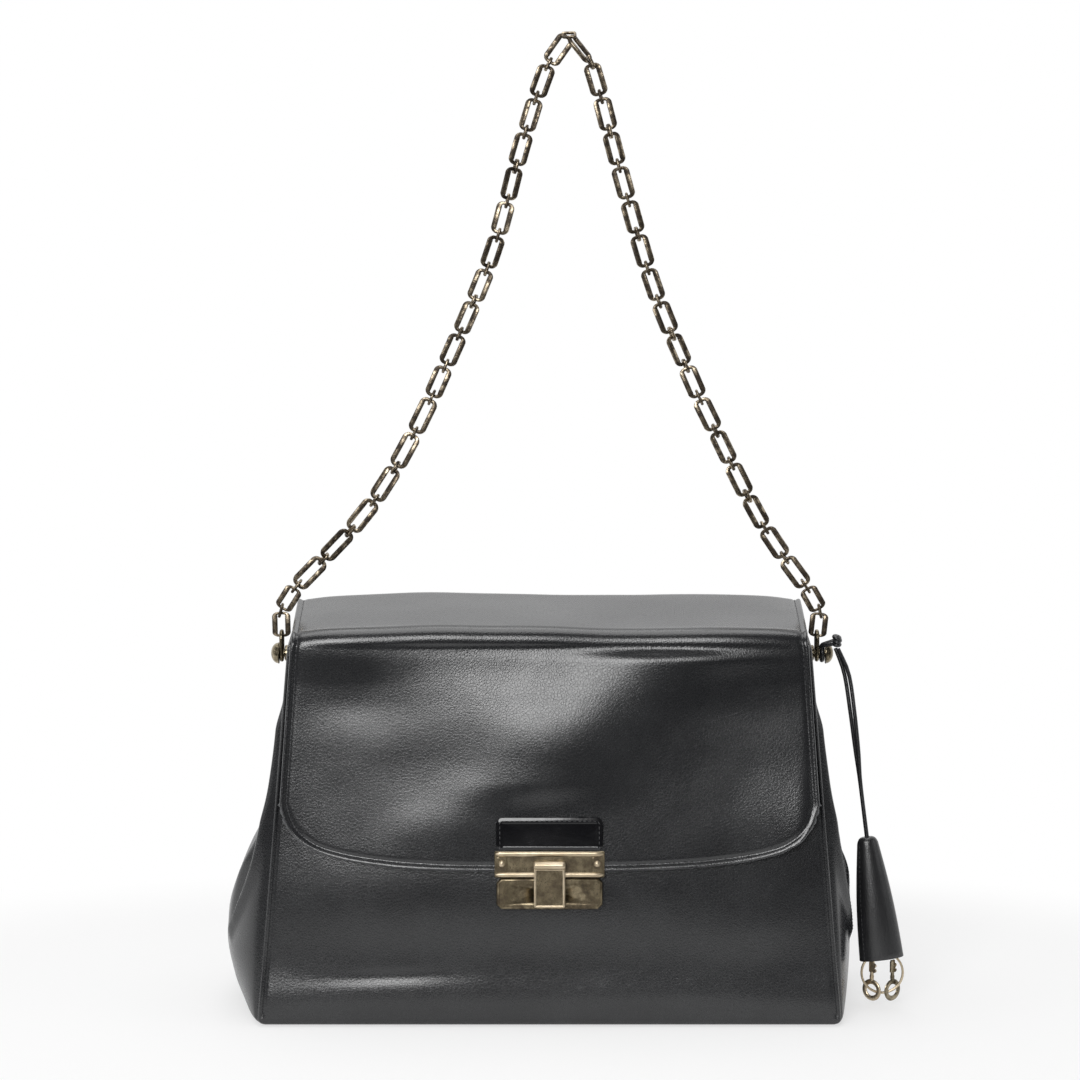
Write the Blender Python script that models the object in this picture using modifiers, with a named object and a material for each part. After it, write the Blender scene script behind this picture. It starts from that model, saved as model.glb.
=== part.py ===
"""A leather flap shoulder bag with a chain of long links, a clasp lock and a bell-shaped key cover.

The frame is in metres, with +Z up, +X to the right of someone who faces the bag, and the front
towards -Y. The origin is at the middle of the base, on the surface that the bag stands on.
"""

import math

import bmesh
import bpy
from mathutils import Matrix, Vector

# Gaps, and the distance within which points are merged
SEAT_GAP = 0.0003
SEAM_GAP = 0.00045
RUN_GAP = 0.0004
CUT_OVERRUN = 0.004
MERGE_DISTANCE = 0.00002

# The body of the bag, over its leather
BASE_HALF_WIDTH = 0.1606
MOUTH_HALF_WIDTH = 0.1430
BASE_HALF_DEPTH = 0.0620
MOUTH_HALF_DEPTH = 0.0380
BACK_HEIGHT = 0.2145
MOUTH_DROP = 0.0070
PANEL_BELLY = 0.0030
WALL_THICKNESS = 0.0022
BASE_THICKNESS = 0.0024
BOARD_THICKNESS = 0.0020
BOARD_MARGIN = 0.0020
BOARD_ROUNDING = 0.0005
LINING_GAP = 0.0030
LINING_THICKNESS = 0.0008
PLEAT_DEPTH = 0.0200
LEFT_BULGE = 0.0205
RIGHT_BULGE = 0.0150

# The studs hang below the middle of the mouth, and the walls are flat from just below them
STUD_DROP = 0.0140
FLAT_DROP = 0.01682

# Each pair is a share of the height at which the walls get flat, and a share of the size named with it
BELLY_SHARES = ((0, 0), (0.1786, 0.7), (0.4762, 1), (0.8333, 0.45), (1, 0), (1.2, 0))
PLEAT_SHARES = ((0, 0), (0.2381, 0), (0.4524, 0.5), (0.6667, 1), (0.8571, 0.5), (1, 0), (1.2, 0))
LEFT_BULGE_SHARES = (
    (0, 0.3), (0.1071, 0.76), (0.2381, 1), (0.3571, 0.93), (0.5595, 0.54), (0.8333, 0.12), (1, 0), (1.2, 0),
)
RIGHT_BULGE_SHARES = (
    (0, 0.25), (0.1071, 0.6), (0.2976, 0.93), (0.4524, 1), (0.6548, 0.6), (0.8571, 0.2), (1, 0), (1.2, 0),
)
ROW_SHARES = (0, 0.08, 0.18, 0.28, 0.4, 0.52, 0.64, 0.76, 0.86, 1)
PANEL_COLUMN_SHARES = (-1, -0.75, -0.5, -0.25, 0, 0.25, 0.5, 0.75, 1)
GUSSET_COLUMN_SHARES = (-1, -0.75, -0.5, -0.36, -0.18, 0, 0.18, 0.36, 0.5, 0.75, 1)
PLEAT_EDGE_SHARE = 0.5

# The flap: its rises are above the mouth, its drops below its own top, and its margins inside the body
FLAP_LEATHER = 0.0018
FLAP_LINING = 0.0010
FLAP_GAP = 0.0015
FLAP_FRONT_RISE = 0.0087
FLAP_BACK_RISE = 0.0085
FLAP_ROUNDING = 0.0080
FLAP_BACK_MARGIN = 0.0005
FLAP_FOLD_MARGIN = 0.0022
FLAP_LOW_MARGIN = 0.0033
FLAP_SEAM_DROP = 0.0285
FLAP_DROP = 0.1298
FLAP_SIDE_DROP = 0.0942
CREASE_Y = -0.0120
# Each pair is a share of the flap's half width and a share of its edge's rise from the middle to the sides
FLAP_EDGE_SHARES = (
    (0, 0), (0.28, 0.01), (0.52, 0.05), (0.7, 0.125), (0.84, 0.25), (0.92, 0.42), (0.975, 0.68), (1, 1),
)
FLAP_ROW_SHARES = (0, 0.15, 0.3, 0.45, 0.6, 0.75, 0.9, 1)
BEND_STEPS = 4
TOP_STEPS = 3

# The lock, in a frame that leans with the front panel
LOCK_DROP = 0.0124
PLATE_HALF_WIDTH = 0.0290
PLATE_BOTTOM = -0.0087
PLATE_TOP = 0.0086
PLATE_FRONT = 0.0063
PLATE_WALL = 0.0013
PLATE_CORNER = 0.0025
SLOT_HALF_WIDTH = 0.0032
SLOT_HALF_HEIGHT = 0.0030
SLOT_HEIGHT = -0.0012
POST_RADIUS = 0.0012
POST_X = 0.0235
BACKING_HALF_WIDTH = 0.0270
BACKING_HALF_HEIGHT = 0.0060
BACKING_THICKNESS = 0.0008
BAR_HALF_WIDTH = 0.0302
BAR_BOTTOM = 0.0089
BAR_TOP = 0.0232
BAR_THICKNESS = 0.0020
BAR_LIP_TOP = 0.0116
BAR_LIP_BACK = 0.0010
RIVET_X = 0.0260
RIVET_HEIGHT = 0.0164
RIVET_HEAD_RADIUS = 0.0019
RIVET_HEAD_HEIGHT = 0.0010
RIVET_DOME_SHARES = (0.6, 0.85)
RIVET_SHANK_RADIUS = 0.0010
RIVET_TAIL_RADIUS = 0.0021
RIVET_TAIL_HEIGHT = 0.0005
TAB_HALF_WIDTH = 0.0292
TAB_TOP = 0.0426
TAB_SIDE_TOP = 0.0415
TAB_CORNER = 0.0035
TAB_CORNER_SHARE = 1 / 3
TAB_ARCH_SHARE = 0.8
TAB_THICKNESS = 0.0016
HASP_HALF_WIDTH = 0.0086
HASP_BOTTOM = -0.0074
HASP_THICKNESS = 0.0022
HASP_STUD_RADIUS = 0.0016
HASP_STUD_REACH = 0.0019
KNUCKLE_HEIGHT = 0.0158
KNUCKLE_RADIUS = 0.0021
KNUCKLE_BORE = 0.0011
PIN_RADIUS = 0.0008
LUG_HALF_WIDTH = 0.0025
CATCH_THICKNESS = 0.0005
CATCH_DEPTH = 0.0026

# The studs and the eyes
STUD_SHANK_RADIUS = 0.0016
STUD_FLANGE_RADIUS = 0.0045
STUD_FLANGE_THICKNESS = 0.0028
STUD_NECK_RADIUS = 0.0022
STUD_DOME_RADIUS = 0.0059
STUD_DOME_HEIGHT = 0.0046
STUD_DOME_ANGLES = (22, 45, 68, 84)
WASHER_RADIUS = 0.0045
WASHER_THICKNESS = 0.0007
EYE_WIRE = 0.0021
EYE_HALF_WIDTH = 0.0029
EYE_RISE = 0.0083

# The chain
BAR_WIDTH = 0.0020
LINK_WIDTH = 0.0102
LINK_CORNER = 0.0022
LINK_SPACE = 0.0012
CONNECTOR_WIRE_RADIUS = 0.0008
CONNECTOR_CORNER_SHARE = 0.87
CONNECTOR_PLAY = 0.0003
CONNECTOR_SIDE_PLAY = 0.00035
CONNECTOR_BITE = 0.00015
FOLD_PLAY = 0.0004
FOLD_SIDE_PLAY = 0.0009
CORNER_LEAST_SHARE = 0.25

# The run of the two strands, which meet at the apex: each rise is above the end of the stretch below it
APEX_X = 0.0105
LEFT_LOW_FOLD_INSET = 0.00835
RIGHT_LOW_FOLD_INSET = 0.00635
LEFT_HIGH_FOLD_X = 0.0652
RIGHT_HIGH_FOLD_X = 0.0830
LOW_FOLD_RISE = 0.0292
HIGH_FOLD_RISE = 0.1055
APEX_RISE = 0.1935
STRAND_LEAN = math.radians(30)
STRETCH_LINKS = (2, 6, 10)
LINKS_A_NODE = 2
LINE_STEPS = 12
# Each pair is a share of the way across and a share of the way up a stretch
LEFT_STRAND_SHARES = (
    ((-0.0778, 0.5034),),
    ((0.46966, 0.3545), (0.76781, 0.67204)),
    ((0.42933, 0.39225), (0.64861, 0.70284)),
)
RIGHT_STRAND_SHARES = (
    ((-0.3858, 0.4349),),
    ((0.43167, 0.3545),),
    ((0.34483, 0.30698), (0.61241, 0.64599)),
)

# The key fob: its outs are beyond the right gusset's swelling, and its drops are below the knot
LACE_RADIUS = 0.00095
LOOP_WIRE = 0.0014
KNOT_FRONT = 0.0062
KNOT_RISE = 0.0070
KNOT_HALF_WIDTH = 0.00247
KNOT_HALF_DEPTH = 0.00304
KNOT_HALF_HEIGHT = 0.00285
BIGHT_REACH = 0.00462
BELL_TOP_OUT = 0.0016
BELL_TOP_DROP = 0.10845
BELL_TOP_FRONT = 0.0150
BELL_LOW_OUT = 0.0102
BELL_LOW_DROP = 0.17745
BELL_LOW_FRONT = 0.0225
RING_OUT = 0.0106
RING_DROP = 0.18545
RING_FRONT = 0.0222
BELL_SLIDE = 0.0300
BELL_LENGTH = 0.0690
BELL_TOP_HALF_WIDTH = 0.0056
BELL_LOW_HALF_WIDTH = 0.0118
BELL_TOP_HALF_DEPTH = 0.0050
BELL_LOW_HALF_DEPTH = 0.0074
BELL_WALL = 0.0012
BELL_CROWN = 0.0030
BELL_BOW = 0.00096
BELL_ROW_SHARES = (0.2, 0.4, 0.6, 0.8, 1)
BELL_CROWN_SHARE = 0.75
BELL_HOLE_HALF_WIDTH = 0.0027
BELL_HOLE_HALF_DEPTH = 0.0014
RING_RADIUS = 0.0115
RING_WIRE = 0.0008
RING_PLAY = 0.0010
LACE_TURN_RADIUS = 0.0038
LACE_SPACING = 0.00475
LACE_TURN_ANGLES = (0, 45, 90, 135, 180)
LACE_END_SHARE = 0.35
# Each is the share of the way out, forwards and down from the knot to the top of the lace's straight run
LACE_RUN_SHARES = ((0.40904, 0.23286, 0.20079), (0.6451, 0.64483, 0.46894), (0.85903, 0.8956, 0.77673))
KEY_THICKNESS = 0.0014
KEY_BOW_RADIUS = 0.0062
KEY_HOLE_RADIUS = 0.0033
KEY_STEM_LENGTH = 0.0110
KEY_STEM_HALF_WIDTH = 0.0019
KEY_TURN = math.radians(40)
KEY_HANG = math.radians(30)
# Each pair is a share of the stem's half width and a share of its height, from the foot of the bit
KEY_BIT_SHARES = (
    (1, 0.55), (1.7, 0.6), (1.7, 0.68), (1, 0.72), (1.7, 0.78), (1.7, 0.86), (0.7, 1), (-0.7, 1), (-1, 0.92),
)

FRONT_HEIGHT = BACK_HEIGHT - MOUTH_DROP
STUD_HEIGHT = (FRONT_HEIGHT + BACK_HEIGHT) / 2 - STUD_DROP
FLAT_HEIGHT = STUD_HEIGHT - FLAT_DROP
FLAP_TOP_FRONT = FRONT_HEIGHT + FLAP_FRONT_RISE
FLAP_TOP_BACK = BACK_HEIGHT + FLAP_BACK_RISE
FLAP_SEAM_HEIGHT = BACK_HEIGHT - FLAP_SEAM_DROP
FLAP_LOW = FLAP_TOP_FRONT - FLAP_DROP
FLAP_SIDE_LOW = FLAP_TOP_FRONT - FLAP_SIDE_DROP
LOCK_HEIGHT = FLAP_LOW - LOCK_DROP
TILT = math.atan((BASE_HALF_DEPTH - MOUTH_HALF_DEPTH) / BACK_HEIGHT)


# Materials

def material(name, colour, roughness, metallic):
    """A Principled material in one colour."""
    made = bpy.data.materials.new(name)
    made.use_nodes = True
    shader = made.node_tree.nodes["Principled BSDF"]
    shader.inputs["Base Color"].default_value = (*colour, 1)
    shader.inputs["Roughness"].default_value = roughness
    shader.inputs["Metallic"].default_value = metallic
    made.diffuse_color = (*colour, 1)
    return made


# Sizes of the body that depend on the height

def mix(a, b, share):
    return a + (b - a) * share


def read_shares(shares, at):
    """The smooth curve through pairs of (place, value), read at a place."""
    at = min(max(at, shares[0][0]), shares[-1][0])
    k = max(i for i in range(len(shares) - 1) if shares[i][0] <= at)
    (x0, y0), (x1, y1) = shares[k], shares[k + 1]
    t = (at - x0) / (x1 - x0)
    grades = [(b[1] - a[1]) / (b[0] - a[0]) for a, b in zip(shares, shares[1:])]
    slopes = []
    for i in (k, k + 1):
        before, after = grades[max(i - 1, 0)], grades[min(i, len(grades) - 1)]
        level = before * after <= 0
        slopes.append(0 if level else 2 * before * after / (before + after) * (x1 - x0))
    rise = y1 - y0
    a = slopes[0] + slopes[1] - 2 * rise
    b = 3 * rise - 2 * slopes[0] - slopes[1]
    return y0 + t * (slopes[0] + t * (b + t * a))


def half_width(z):
    return mix(BASE_HALF_WIDTH, MOUTH_HALF_WIDTH, z / BACK_HEIGHT)


def half_depth(z):
    return mix(BASE_HALF_DEPTH, MOUTH_HALF_DEPTH, z / BACK_HEIGHT)


def belly(x_share, z):
    """How far a panel swells out past a flat one."""
    return PANEL_BELLY * (1 - min(abs(x_share), 1) ** 2) * read_shares(BELLY_SHARES, z / FLAT_HEIGHT)


def gusset_x(side, depth_share, z):
    """The outer face of a gusset, from the middle plane: it swells low down and folds in higher up."""
    size, shares = (LEFT_BULGE, LEFT_BULGE_SHARES) if side < 0 else (RIGHT_BULGE, RIGHT_BULGE_SHARES)
    height_share = z / FLAT_HEIGHT
    swell = size * read_shares(shares, height_share) * math.cos(math.pi * depth_share / 2)
    fold = 0
    if abs(depth_share) < PLEAT_EDGE_SHARE:
        fold = PLEAT_DEPTH * read_shares(PLEAT_SHARES, height_share) * math.cos(math.pi * depth_share) ** 2
    return half_width(z) + swell - fold


def wall_z(low, depth_share, row_share):
    """The height of a row of the walls, whose top edge rises from front to back."""
    return mix(low, mix(FRONT_HEIGHT, BACK_HEIGHT, (depth_share + 1) / 2), row_share)


def panel_point(front, inset, x_share, z):
    """A point of the front panel (front = -1) or the back panel (front = 1), inset from its outer face."""
    y = half_depth(z) - inset + belly(x_share, z)
    return Vector((x_share * (half_width(z) - SEAM_GAP - inset), front * y, z))


def gusset_point(side, inset, depth_share, z):
    """A point of a gusset, inset from its outer face: the inset in depth grows towards the seams."""
    x = gusset_x(side, depth_share, z) - inset
    seam_share = max(2 * abs(depth_share) - 1, 0)
    y = math.copysign(abs(depth_share) * half_depth(z) - seam_share * inset, depth_share)
    return Vector((side * x, y, z))


# Mesh builders

def finished(bm, name):
    """A mesh from a bmesh, with its faces pointing out."""
    bmesh.ops.recalc_face_normals(bm, faces=bm.faces)
    if bm.calc_volume(signed=True) < 0:
        bmesh.ops.reverse_faces(bm, faces=bm.faces)
    mesh = bpy.data.meshes.new(name)
    bm.to_mesh(mesh)
    bm.free()
    return mesh


def sheet_mesh(name, outer, inner):
    """A closed sheet between two grids of points that match, row for row and column for column."""
    bm = bmesh.new()
    layers = [[[bm.verts.new(point) for point in row] for row in grid] for grid in (outer, inner)]
    rows, columns = len(outer), len(outer[0])
    for i in range(rows - 1):
        for j in range(columns - 1):
            for layer in layers:
                bm.faces.new((layer[i][j], layer[i][j + 1], layer[i + 1][j + 1], layer[i + 1][j]))
    rim = [(0, j) for j in range(columns)]
    rim += [(i, columns - 1) for i in range(1, rows)]
    rim += [(rows - 1, j) for j in range(columns - 2, -1, -1)]
    rim += [(i, 0) for i in range(rows - 2, 0, -1)]
    for (i, j), (k, m) in zip(rim, rim[1:] + rim[:1]):
        bm.faces.new((layers[0][i][j], layers[0][k][m], layers[1][k][m], layers[1][i][j]))
    return finished(bm, name)


def loft_mesh(name, loops, capped=True):
    """A solid skinned over closed loops of as many points: capped at both ends, or closed on itself."""
    bm = bmesh.new()
    rings = [[bm.verts.new(point) for point in loop] for loop in loops]
    pairs = list(zip(rings, rings[1:]))
    if not capped:
        pairs.append((rings[-1], rings[0]))
    for low, high in pairs:
        for j in range(len(low)):
            k = (j + 1) % len(low)
            bm.faces.new((low[j], low[k], high[k], high[j]))
    if capped:
        bm.faces.new(rings[0])
        bm.faces.new(rings[-1])
    return finished(bm, name)


def prism_mesh(name, outline, low, high, up=Vector((0, 0, 1))):
    """An outline of points, run from low to high along a direction."""
    loops = [[point + up * along for point in outline] for along in (low, high)]
    return loft_mesh(name, loops)


def box_mesh(name, low, high):
    """A box between two corners."""
    bm = bmesh.new()
    bmesh.ops.create_cube(bm, size=1)
    size = [b - a for a, b in zip(low, high)]
    middle = [(a + b) / 2 for a, b in zip(low, high)]
    bmesh.ops.scale(bm, vec=size, verts=bm.verts)
    bmesh.ops.translate(bm, vec=middle, verts=bm.verts)
    return finished(bm, name)


def rod_mesh(name, radius, start, end, sides=16):
    """A round rod between two points."""
    start, end = Vector(start), Vector(end)
    turn = (end - start).to_track_quat("Z", "Y").to_matrix().to_4x4()
    bm = bmesh.new()
    bmesh.ops.create_cone(
        bm, cap_ends=True, segments=sides, radius1=radius, radius2=radius, depth=(end - start).length,
        matrix=Matrix.Translation((start + end) / 2) @ turn,
    )
    return finished(bm, name)


def smooth_line(points, steps):
    """A smooth curve through a list of points."""
    padded = [points[0] * 2 - points[1], *points, points[-1] * 2 - points[-2]]
    line = []
    for a, b, c, d in zip(padded, padded[1:], padded[2:], padded[3:]):
        for step in range(steps):
            t = step / steps
            bend = (a * 2 - b * 5 + c * 4 - d) * t**2 + (b * 3 - a - c * 3 + d) * t**3
            line.append((b * 2 + (c - a) * t + bend) / 2)
    return [*line, points[-1]]


def spaced_line(line, count):
    """Points at equal lengths along a line, its ends with them."""
    along = [0.0]
    for a, b in zip(line, line[1:]):
        along.append(along[-1] + (b - a).length)
    found, k = [], 0
    for i in range(count + 1):
        at = along[-1] * i / count
        while k < len(line) - 2 and along[k + 1] < at:
            k += 1
        found.append(line[k].lerp(line[k + 1], (at - along[k]) / (along[k + 1] - along[k])))
    return found


def line_length(line):
    return sum((b - a).length for a, b in zip(line, line[1:]))


# Objects

class Bag:
    """Holds the collections, the joint empties and the materials while the objects are made."""

    def __init__(self):
        scene = bpy.context.scene.collection
        self.parts = bpy.data.collections.new("flap_shoulder_bag")
        self.cutters = bpy.data.collections.new("cutters")
        scene.children.link(self.parts)
        scene.children.link(self.cutters)
        self.cutters.hide_render = True
        self.leather = material("black_leather", (0.035, 0.036, 0.040), 0.42, 0.0)
        self.edge_leather = material("black_patent", (0.012, 0.012, 0.014), 0.12, 0.0)
        self.fabric = material("lining_fabric", (0.10, 0.09, 0.085), 0.9, 0.0)
        self.board = material("stiff_board", (0.22, 0.19, 0.16), 0.9, 0.0)
        self.brass = material("aged_brass", (0.46, 0.39, 0.26), 0.34, 1.0)
        self.brushed = material("brushed_brass", (0.36, 0.31, 0.21), 0.42, 1.0)
        self.steel = material("plain_steel", (0.55, 0.55, 0.55), 0.4, 1.0)

    def add(self, name, mesh, finish, parent=None, smooth=True):
        """An object for a mesh in world places, or in its parent's frame where that is turned."""
        obj = bpy.data.objects.new(name, mesh)
        self.parts.objects.link(obj)
        mesh.materials.clear()
        mesh.materials.append(finish)
        if smooth:
            mesh.shade_smooth()
            mesh.set_sharp_from_angle(angle=math.radians(35))
        if parent is not None:
            obj.parent = parent
            if "leans" not in parent:
                mesh.transform(Matrix.Translation(-parent.matrix_world.translation))
        return obj

    def axis(self, name, place, parent=None, lean=0.0):
        """An empty on a joint's axis, or the frame of a sub-assembly that leans."""
        empty = bpy.data.objects.new(name, None)
        self.parts.objects.link(empty)
        empty.empty_display_size = STUD_DOME_RADIUS
        empty.rotation_euler = (lean, 0, 0)
        empty.location = place
        if parent is not None:
            empty.parent = parent
            empty.location = Vector(place) - parent.matrix_world.translation
        if lean:
            empty["leans"] = True
        bpy.context.view_layer.update()
        return empty

    def cutter(self, name, mesh, parent=None):
        """A hidden object that only cuts."""
        obj = bpy.data.objects.new(name, mesh)
        self.cutters.objects.link(obj)
        obj.hide_render = True
        obj.display_type = "WIRE"
        if parent is not None:
            obj.parent = parent
        return obj

    def cut(self, obj, cutter):
        """A live cut of one object by a cutter."""
        step = obj.modifiers.new(cutter.name, "BOOLEAN")
        step.operation = "DIFFERENCE"
        step.object = cutter

    def fused(self, name, meshes):
        """One mesh from several that bear on each other."""
        made = [bpy.data.objects.new(name, mesh) for mesh in meshes]
        for obj in made:
            self.parts.objects.link(obj)
        for other in made[1:]:
            step = made[0].modifiers.new("join", "BOOLEAN")
            step.operation = "UNION"
            step.object = other
        whole = bpy.data.meshes.new_from_object(made[0].evaluated_get(bpy.context.evaluated_depsgraph_get()))
        for obj in made:
            bpy.data.objects.remove(obj)
        whole.name = name
        return whole


# Body

def wall_rows(low, depth_share):
    return [wall_z(low, depth_share, row) for row in ROW_SHARES]


def wall_loop(inset, z_of):
    """The closed outline of the walls, inset from their faces, at heights given for each depth share."""
    loop = [panel_point(-1, inset, x, z_of(-1)) for x in PANEL_COLUMN_SHARES[:-1]]
    loop += [gusset_point(1, inset, u, z_of(u)) for u in GUSSET_COLUMN_SHARES[:-1]]
    loop += [panel_point(1, inset, -x, z_of(1)) for x in PANEL_COLUMN_SHARES[:-1]]
    loop += [gusset_point(-1, inset, -u, z_of(-u)) for u in GUSSET_COLUMN_SHARES[:-1]]
    return loop


def build_panel(bag, name, front):
    """The front or the back wall, a sheet that swells a little."""
    rows = wall_rows(BASE_THICKNESS + SEAT_GAP, front)
    grids = [
        [[panel_point(front, inset, x, z) for x in PANEL_COLUMN_SHARES] for z in rows]
        for inset in (0, WALL_THICKNESS)
    ]
    return bag.add(name, sheet_mesh(name, *grids), bag.leather)


def build_gusset(bag, name, side):
    """A side wall that swells low down and has a fold in its middle."""
    low = BASE_THICKNESS + SEAT_GAP
    grids = []
    for inset in (0, WALL_THICKNESS):
        grids.append([
            [gusset_point(side, inset, u, wall_z(low, u, row)) for u in GUSSET_COLUMN_SHARES]
            for row in ROW_SHARES
        ])
    return bag.add(name, sheet_mesh(name, *grids), bag.leather)


def build_base(bag):
    """The leather base and the board on it."""
    outline = wall_loop(0, lambda u: 0)
    bag.add("base_panel", prism_mesh("base_panel", outline, 0, BASE_THICKNESS), bag.leather, smooth=False)
    low = BASE_THICKNESS + SEAT_GAP
    width = half_width(low) - WALL_THICKNESS - BOARD_MARGIN
    depth = half_depth(low) - WALL_THICKNESS - BOARD_MARGIN
    mesh = box_mesh("base_board", (-width, -depth, low), (width, depth, low + BOARD_THICKNESS))
    board = bag.add("base_board", mesh, bag.board, smooth=False)
    rounding = board.modifiers.new("rounded corners", "BEVEL")
    rounding.width = BOARD_ROUNDING
    rounding.segments = 1


def build_lining(bag):
    """The sewn bag inside, open at the top."""
    low = BASE_THICKNESS + SEAT_GAP + BOARD_THICKNESS + SEAT_GAP
    outer, inner = WALL_THICKNESS + LINING_GAP, WALL_THICKNESS + LINING_GAP + LINING_THICKNESS
    loops = [wall_loop(outer, lambda u, row=row: wall_z(low, u, row)) for row in ROW_SHARES]
    floor = low + LINING_THICKNESS
    loops += [wall_loop(inner, lambda u, row=row: wall_z(floor, u, row)) for row in reversed(ROW_SHARES)]
    return bag.add("lining", loft_mesh("lining", loops), bag.fabric)


# Flap

def flap_half_width(z):
    """The flap's half width down its front."""
    share = (FLAP_TOP_FRONT - z) / FLAP_SIDE_DROP
    low = half_width(FLAP_SIDE_LOW) - FLAP_LOW_MARGIN
    return mix(MOUTH_HALF_WIDTH - FLAP_FOLD_MARGIN, low, min(max(share, 0), 1))


def fold_places():
    """The y of the flat side below each of the top's two bends, and the height of each bend's middle."""
    thick = FLAP_LEATHER + FLAP_LINING + SEAT_GAP
    front_centre = FLAP_TOP_FRONT - FLAP_ROUNDING
    back_centre = FLAP_TOP_BACK - FLAP_ROUNDING
    front_y = -(half_depth(front_centre) + FLAP_GAP + thick)
    back_y = half_depth(back_centre) + SEAT_GAP + thick
    return front_y, front_centre, back_y, back_centre


def flap_top_z(y):
    front_y, _, back_y, _ = fold_places()
    low_y, high_y = front_y + FLAP_ROUNDING, back_y - FLAP_ROUNDING
    return mix(FLAP_TOP_FRONT, FLAP_TOP_BACK, (y - low_y) / (high_y - low_y))


def flap_top_line(inset, low_y, high_y, count):
    """Points of the top, from front to back, inset from its upper face."""
    return [(y, flap_top_z(y) - inset) for y in (mix(low_y, high_y, i / count) for i in range(count + 1))]


def flap_arc(centre, radius, first, last, count):
    """Points of a bend, by their angles from the front."""
    angles = [mix(first, last, i / count) for i in range(count + 1)]
    return [(centre[0] - radius * math.cos(a), centre[1] + radius * math.sin(a)) for a in angles]


def flap_width_at(y, z):
    """The flap's half width at a point of its section."""
    if z < FLAP_TOP_FRONT - FLAP_ROUNDING and y < 0:
        return flap_half_width(z)
    front_y, _, back_y, _ = fold_places()
    share = (y - front_y) / (back_y - front_y)
    return mix(MOUTH_HALF_WIDTH - FLAP_FOLD_MARGIN, MOUTH_HALF_WIDTH - FLAP_BACK_MARGIN, share)


def flap_strip_mesh(name, line_of, outer_inset, inner_inset):
    """A strip of the flap's top across its whole width, between two insets from its upper face."""
    shares = PANEL_COLUMN_SHARES
    outer_line, inner_line = line_of(outer_inset), line_of(inner_inset)
    widths = [flap_width_at(y, z) for y, z in line_of(0)]
    grids = [
        [[Vector((x * width, y, z)) for x in shares] for (y, z), width in zip(line, widths)]
        for line in (outer_line, inner_line)
    ]
    return sheet_mesh(name, *grids)


def rear_line(inset):
    """From the seam on the back, over the back bend, to the soft crease."""
    _, _, back_y, centre_z = fold_places()
    centre = (back_y - FLAP_ROUNDING, centre_z)
    down = [FLAP_SEAM_HEIGHT, (FLAP_SEAM_HEIGHT + centre_z) / 2]
    lean = [half_depth(z) + belly(0, z) + (back_y - half_depth(centre_z)) for z in down]
    line = [(y - inset, z) for y, z in zip(lean, down)]
    line += flap_arc(centre, FLAP_ROUNDING - inset, math.pi, math.pi / 2, BEND_STEPS)
    top = flap_top_line(inset, CREASE_Y + SEAT_GAP / 2, back_y - FLAP_ROUNDING, TOP_STEPS)
    return line + list(reversed(top))[1:]


def mid_line(inset):
    """From the soft crease to the end of the front bend."""
    front_y, centre_z, _, _ = fold_places()
    centre = (front_y + FLAP_ROUNDING, centre_z)
    top = flap_top_line(inset, front_y + FLAP_ROUNDING, CREASE_Y - SEAT_GAP / 2, TOP_STEPS)
    return list(reversed(top)) + flap_arc(centre, FLAP_ROUNDING - inset, math.pi / 2, 0, BEND_STEPS)[1:]


def flap_front_point(inset, x_share, row_share):
    """A point of the flap's front, whose lower edge curves up to its sides."""
    _, top, _, _ = fold_places()
    top -= SEAT_GAP
    side = abs(x_share)
    low = mix(FLAP_LOW, FLAP_SIDE_LOW, read_shares(FLAP_EDGE_SHARES, side))
    z = mix(top, low, row_share)
    x = x_share * flap_half_width(z)
    thick = FLAP_LEATHER + FLAP_LINING + SEAT_GAP
    y = -(half_depth(z) + belly(x / half_width(z), z) + FLAP_GAP + thick - inset)
    return Vector((x, y, z))


def flap_front_mesh(name, outer_inset, inner_inset):
    shares = [share for share, _ in FLAP_EDGE_SHARES]
    columns = [-share for share in reversed(shares)] + shares[1:]
    grids = [
        [[flap_front_point(inset, x, row) for x in columns] for row in FLAP_ROW_SHARES]
        for inset in (outer_inset, inner_inset)
    ]
    return sheet_mesh(name, *grids)


def build_flap(bag, lift, fold):
    """The flap's leather and lining, in three stretches that bend at the crease and at the front."""
    leather = (0, FLAP_LEATHER)
    lining = (FLAP_LEATHER + SEAT_GAP, FLAP_LEATHER + SEAT_GAP + FLAP_LINING)
    stretches = (("flap_rear", rear_line, None), ("flap_mid", mid_line, lift))
    for name, line_of, parent in stretches:
        bag.add(name, flap_strip_mesh(name, line_of, *leather), bag.leather, parent)
        inner = name + "_lining"
        bag.add(inner, flap_strip_mesh(inner, line_of, *lining), bag.fabric, parent)
    front = bag.add("flap_front", flap_front_mesh("flap_front", *leather), bag.leather, fold)
    inner = bag.add("flap_front_lining", flap_front_mesh("flap_front_lining", *lining), bag.fabric, fold)
    return front, inner


# Lock. Its frame has y outwards-negative and z up along the front panel.

def plate_outline(half, low, high, low_corner, high_corner, back):
    """A plate's outline in the lock's frame, with corners cut at 45 degrees."""
    points = (
        (-half, low + low_corner), (-half + low_corner, low),
        (half - low_corner, low), (half, low + low_corner),
        (half, high - high_corner), (half - high_corner, high), (-half + high_corner, high),
        (-half, high - high_corner),
    )
    return [Vector((x, back, z)) for x, z in points]


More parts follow.
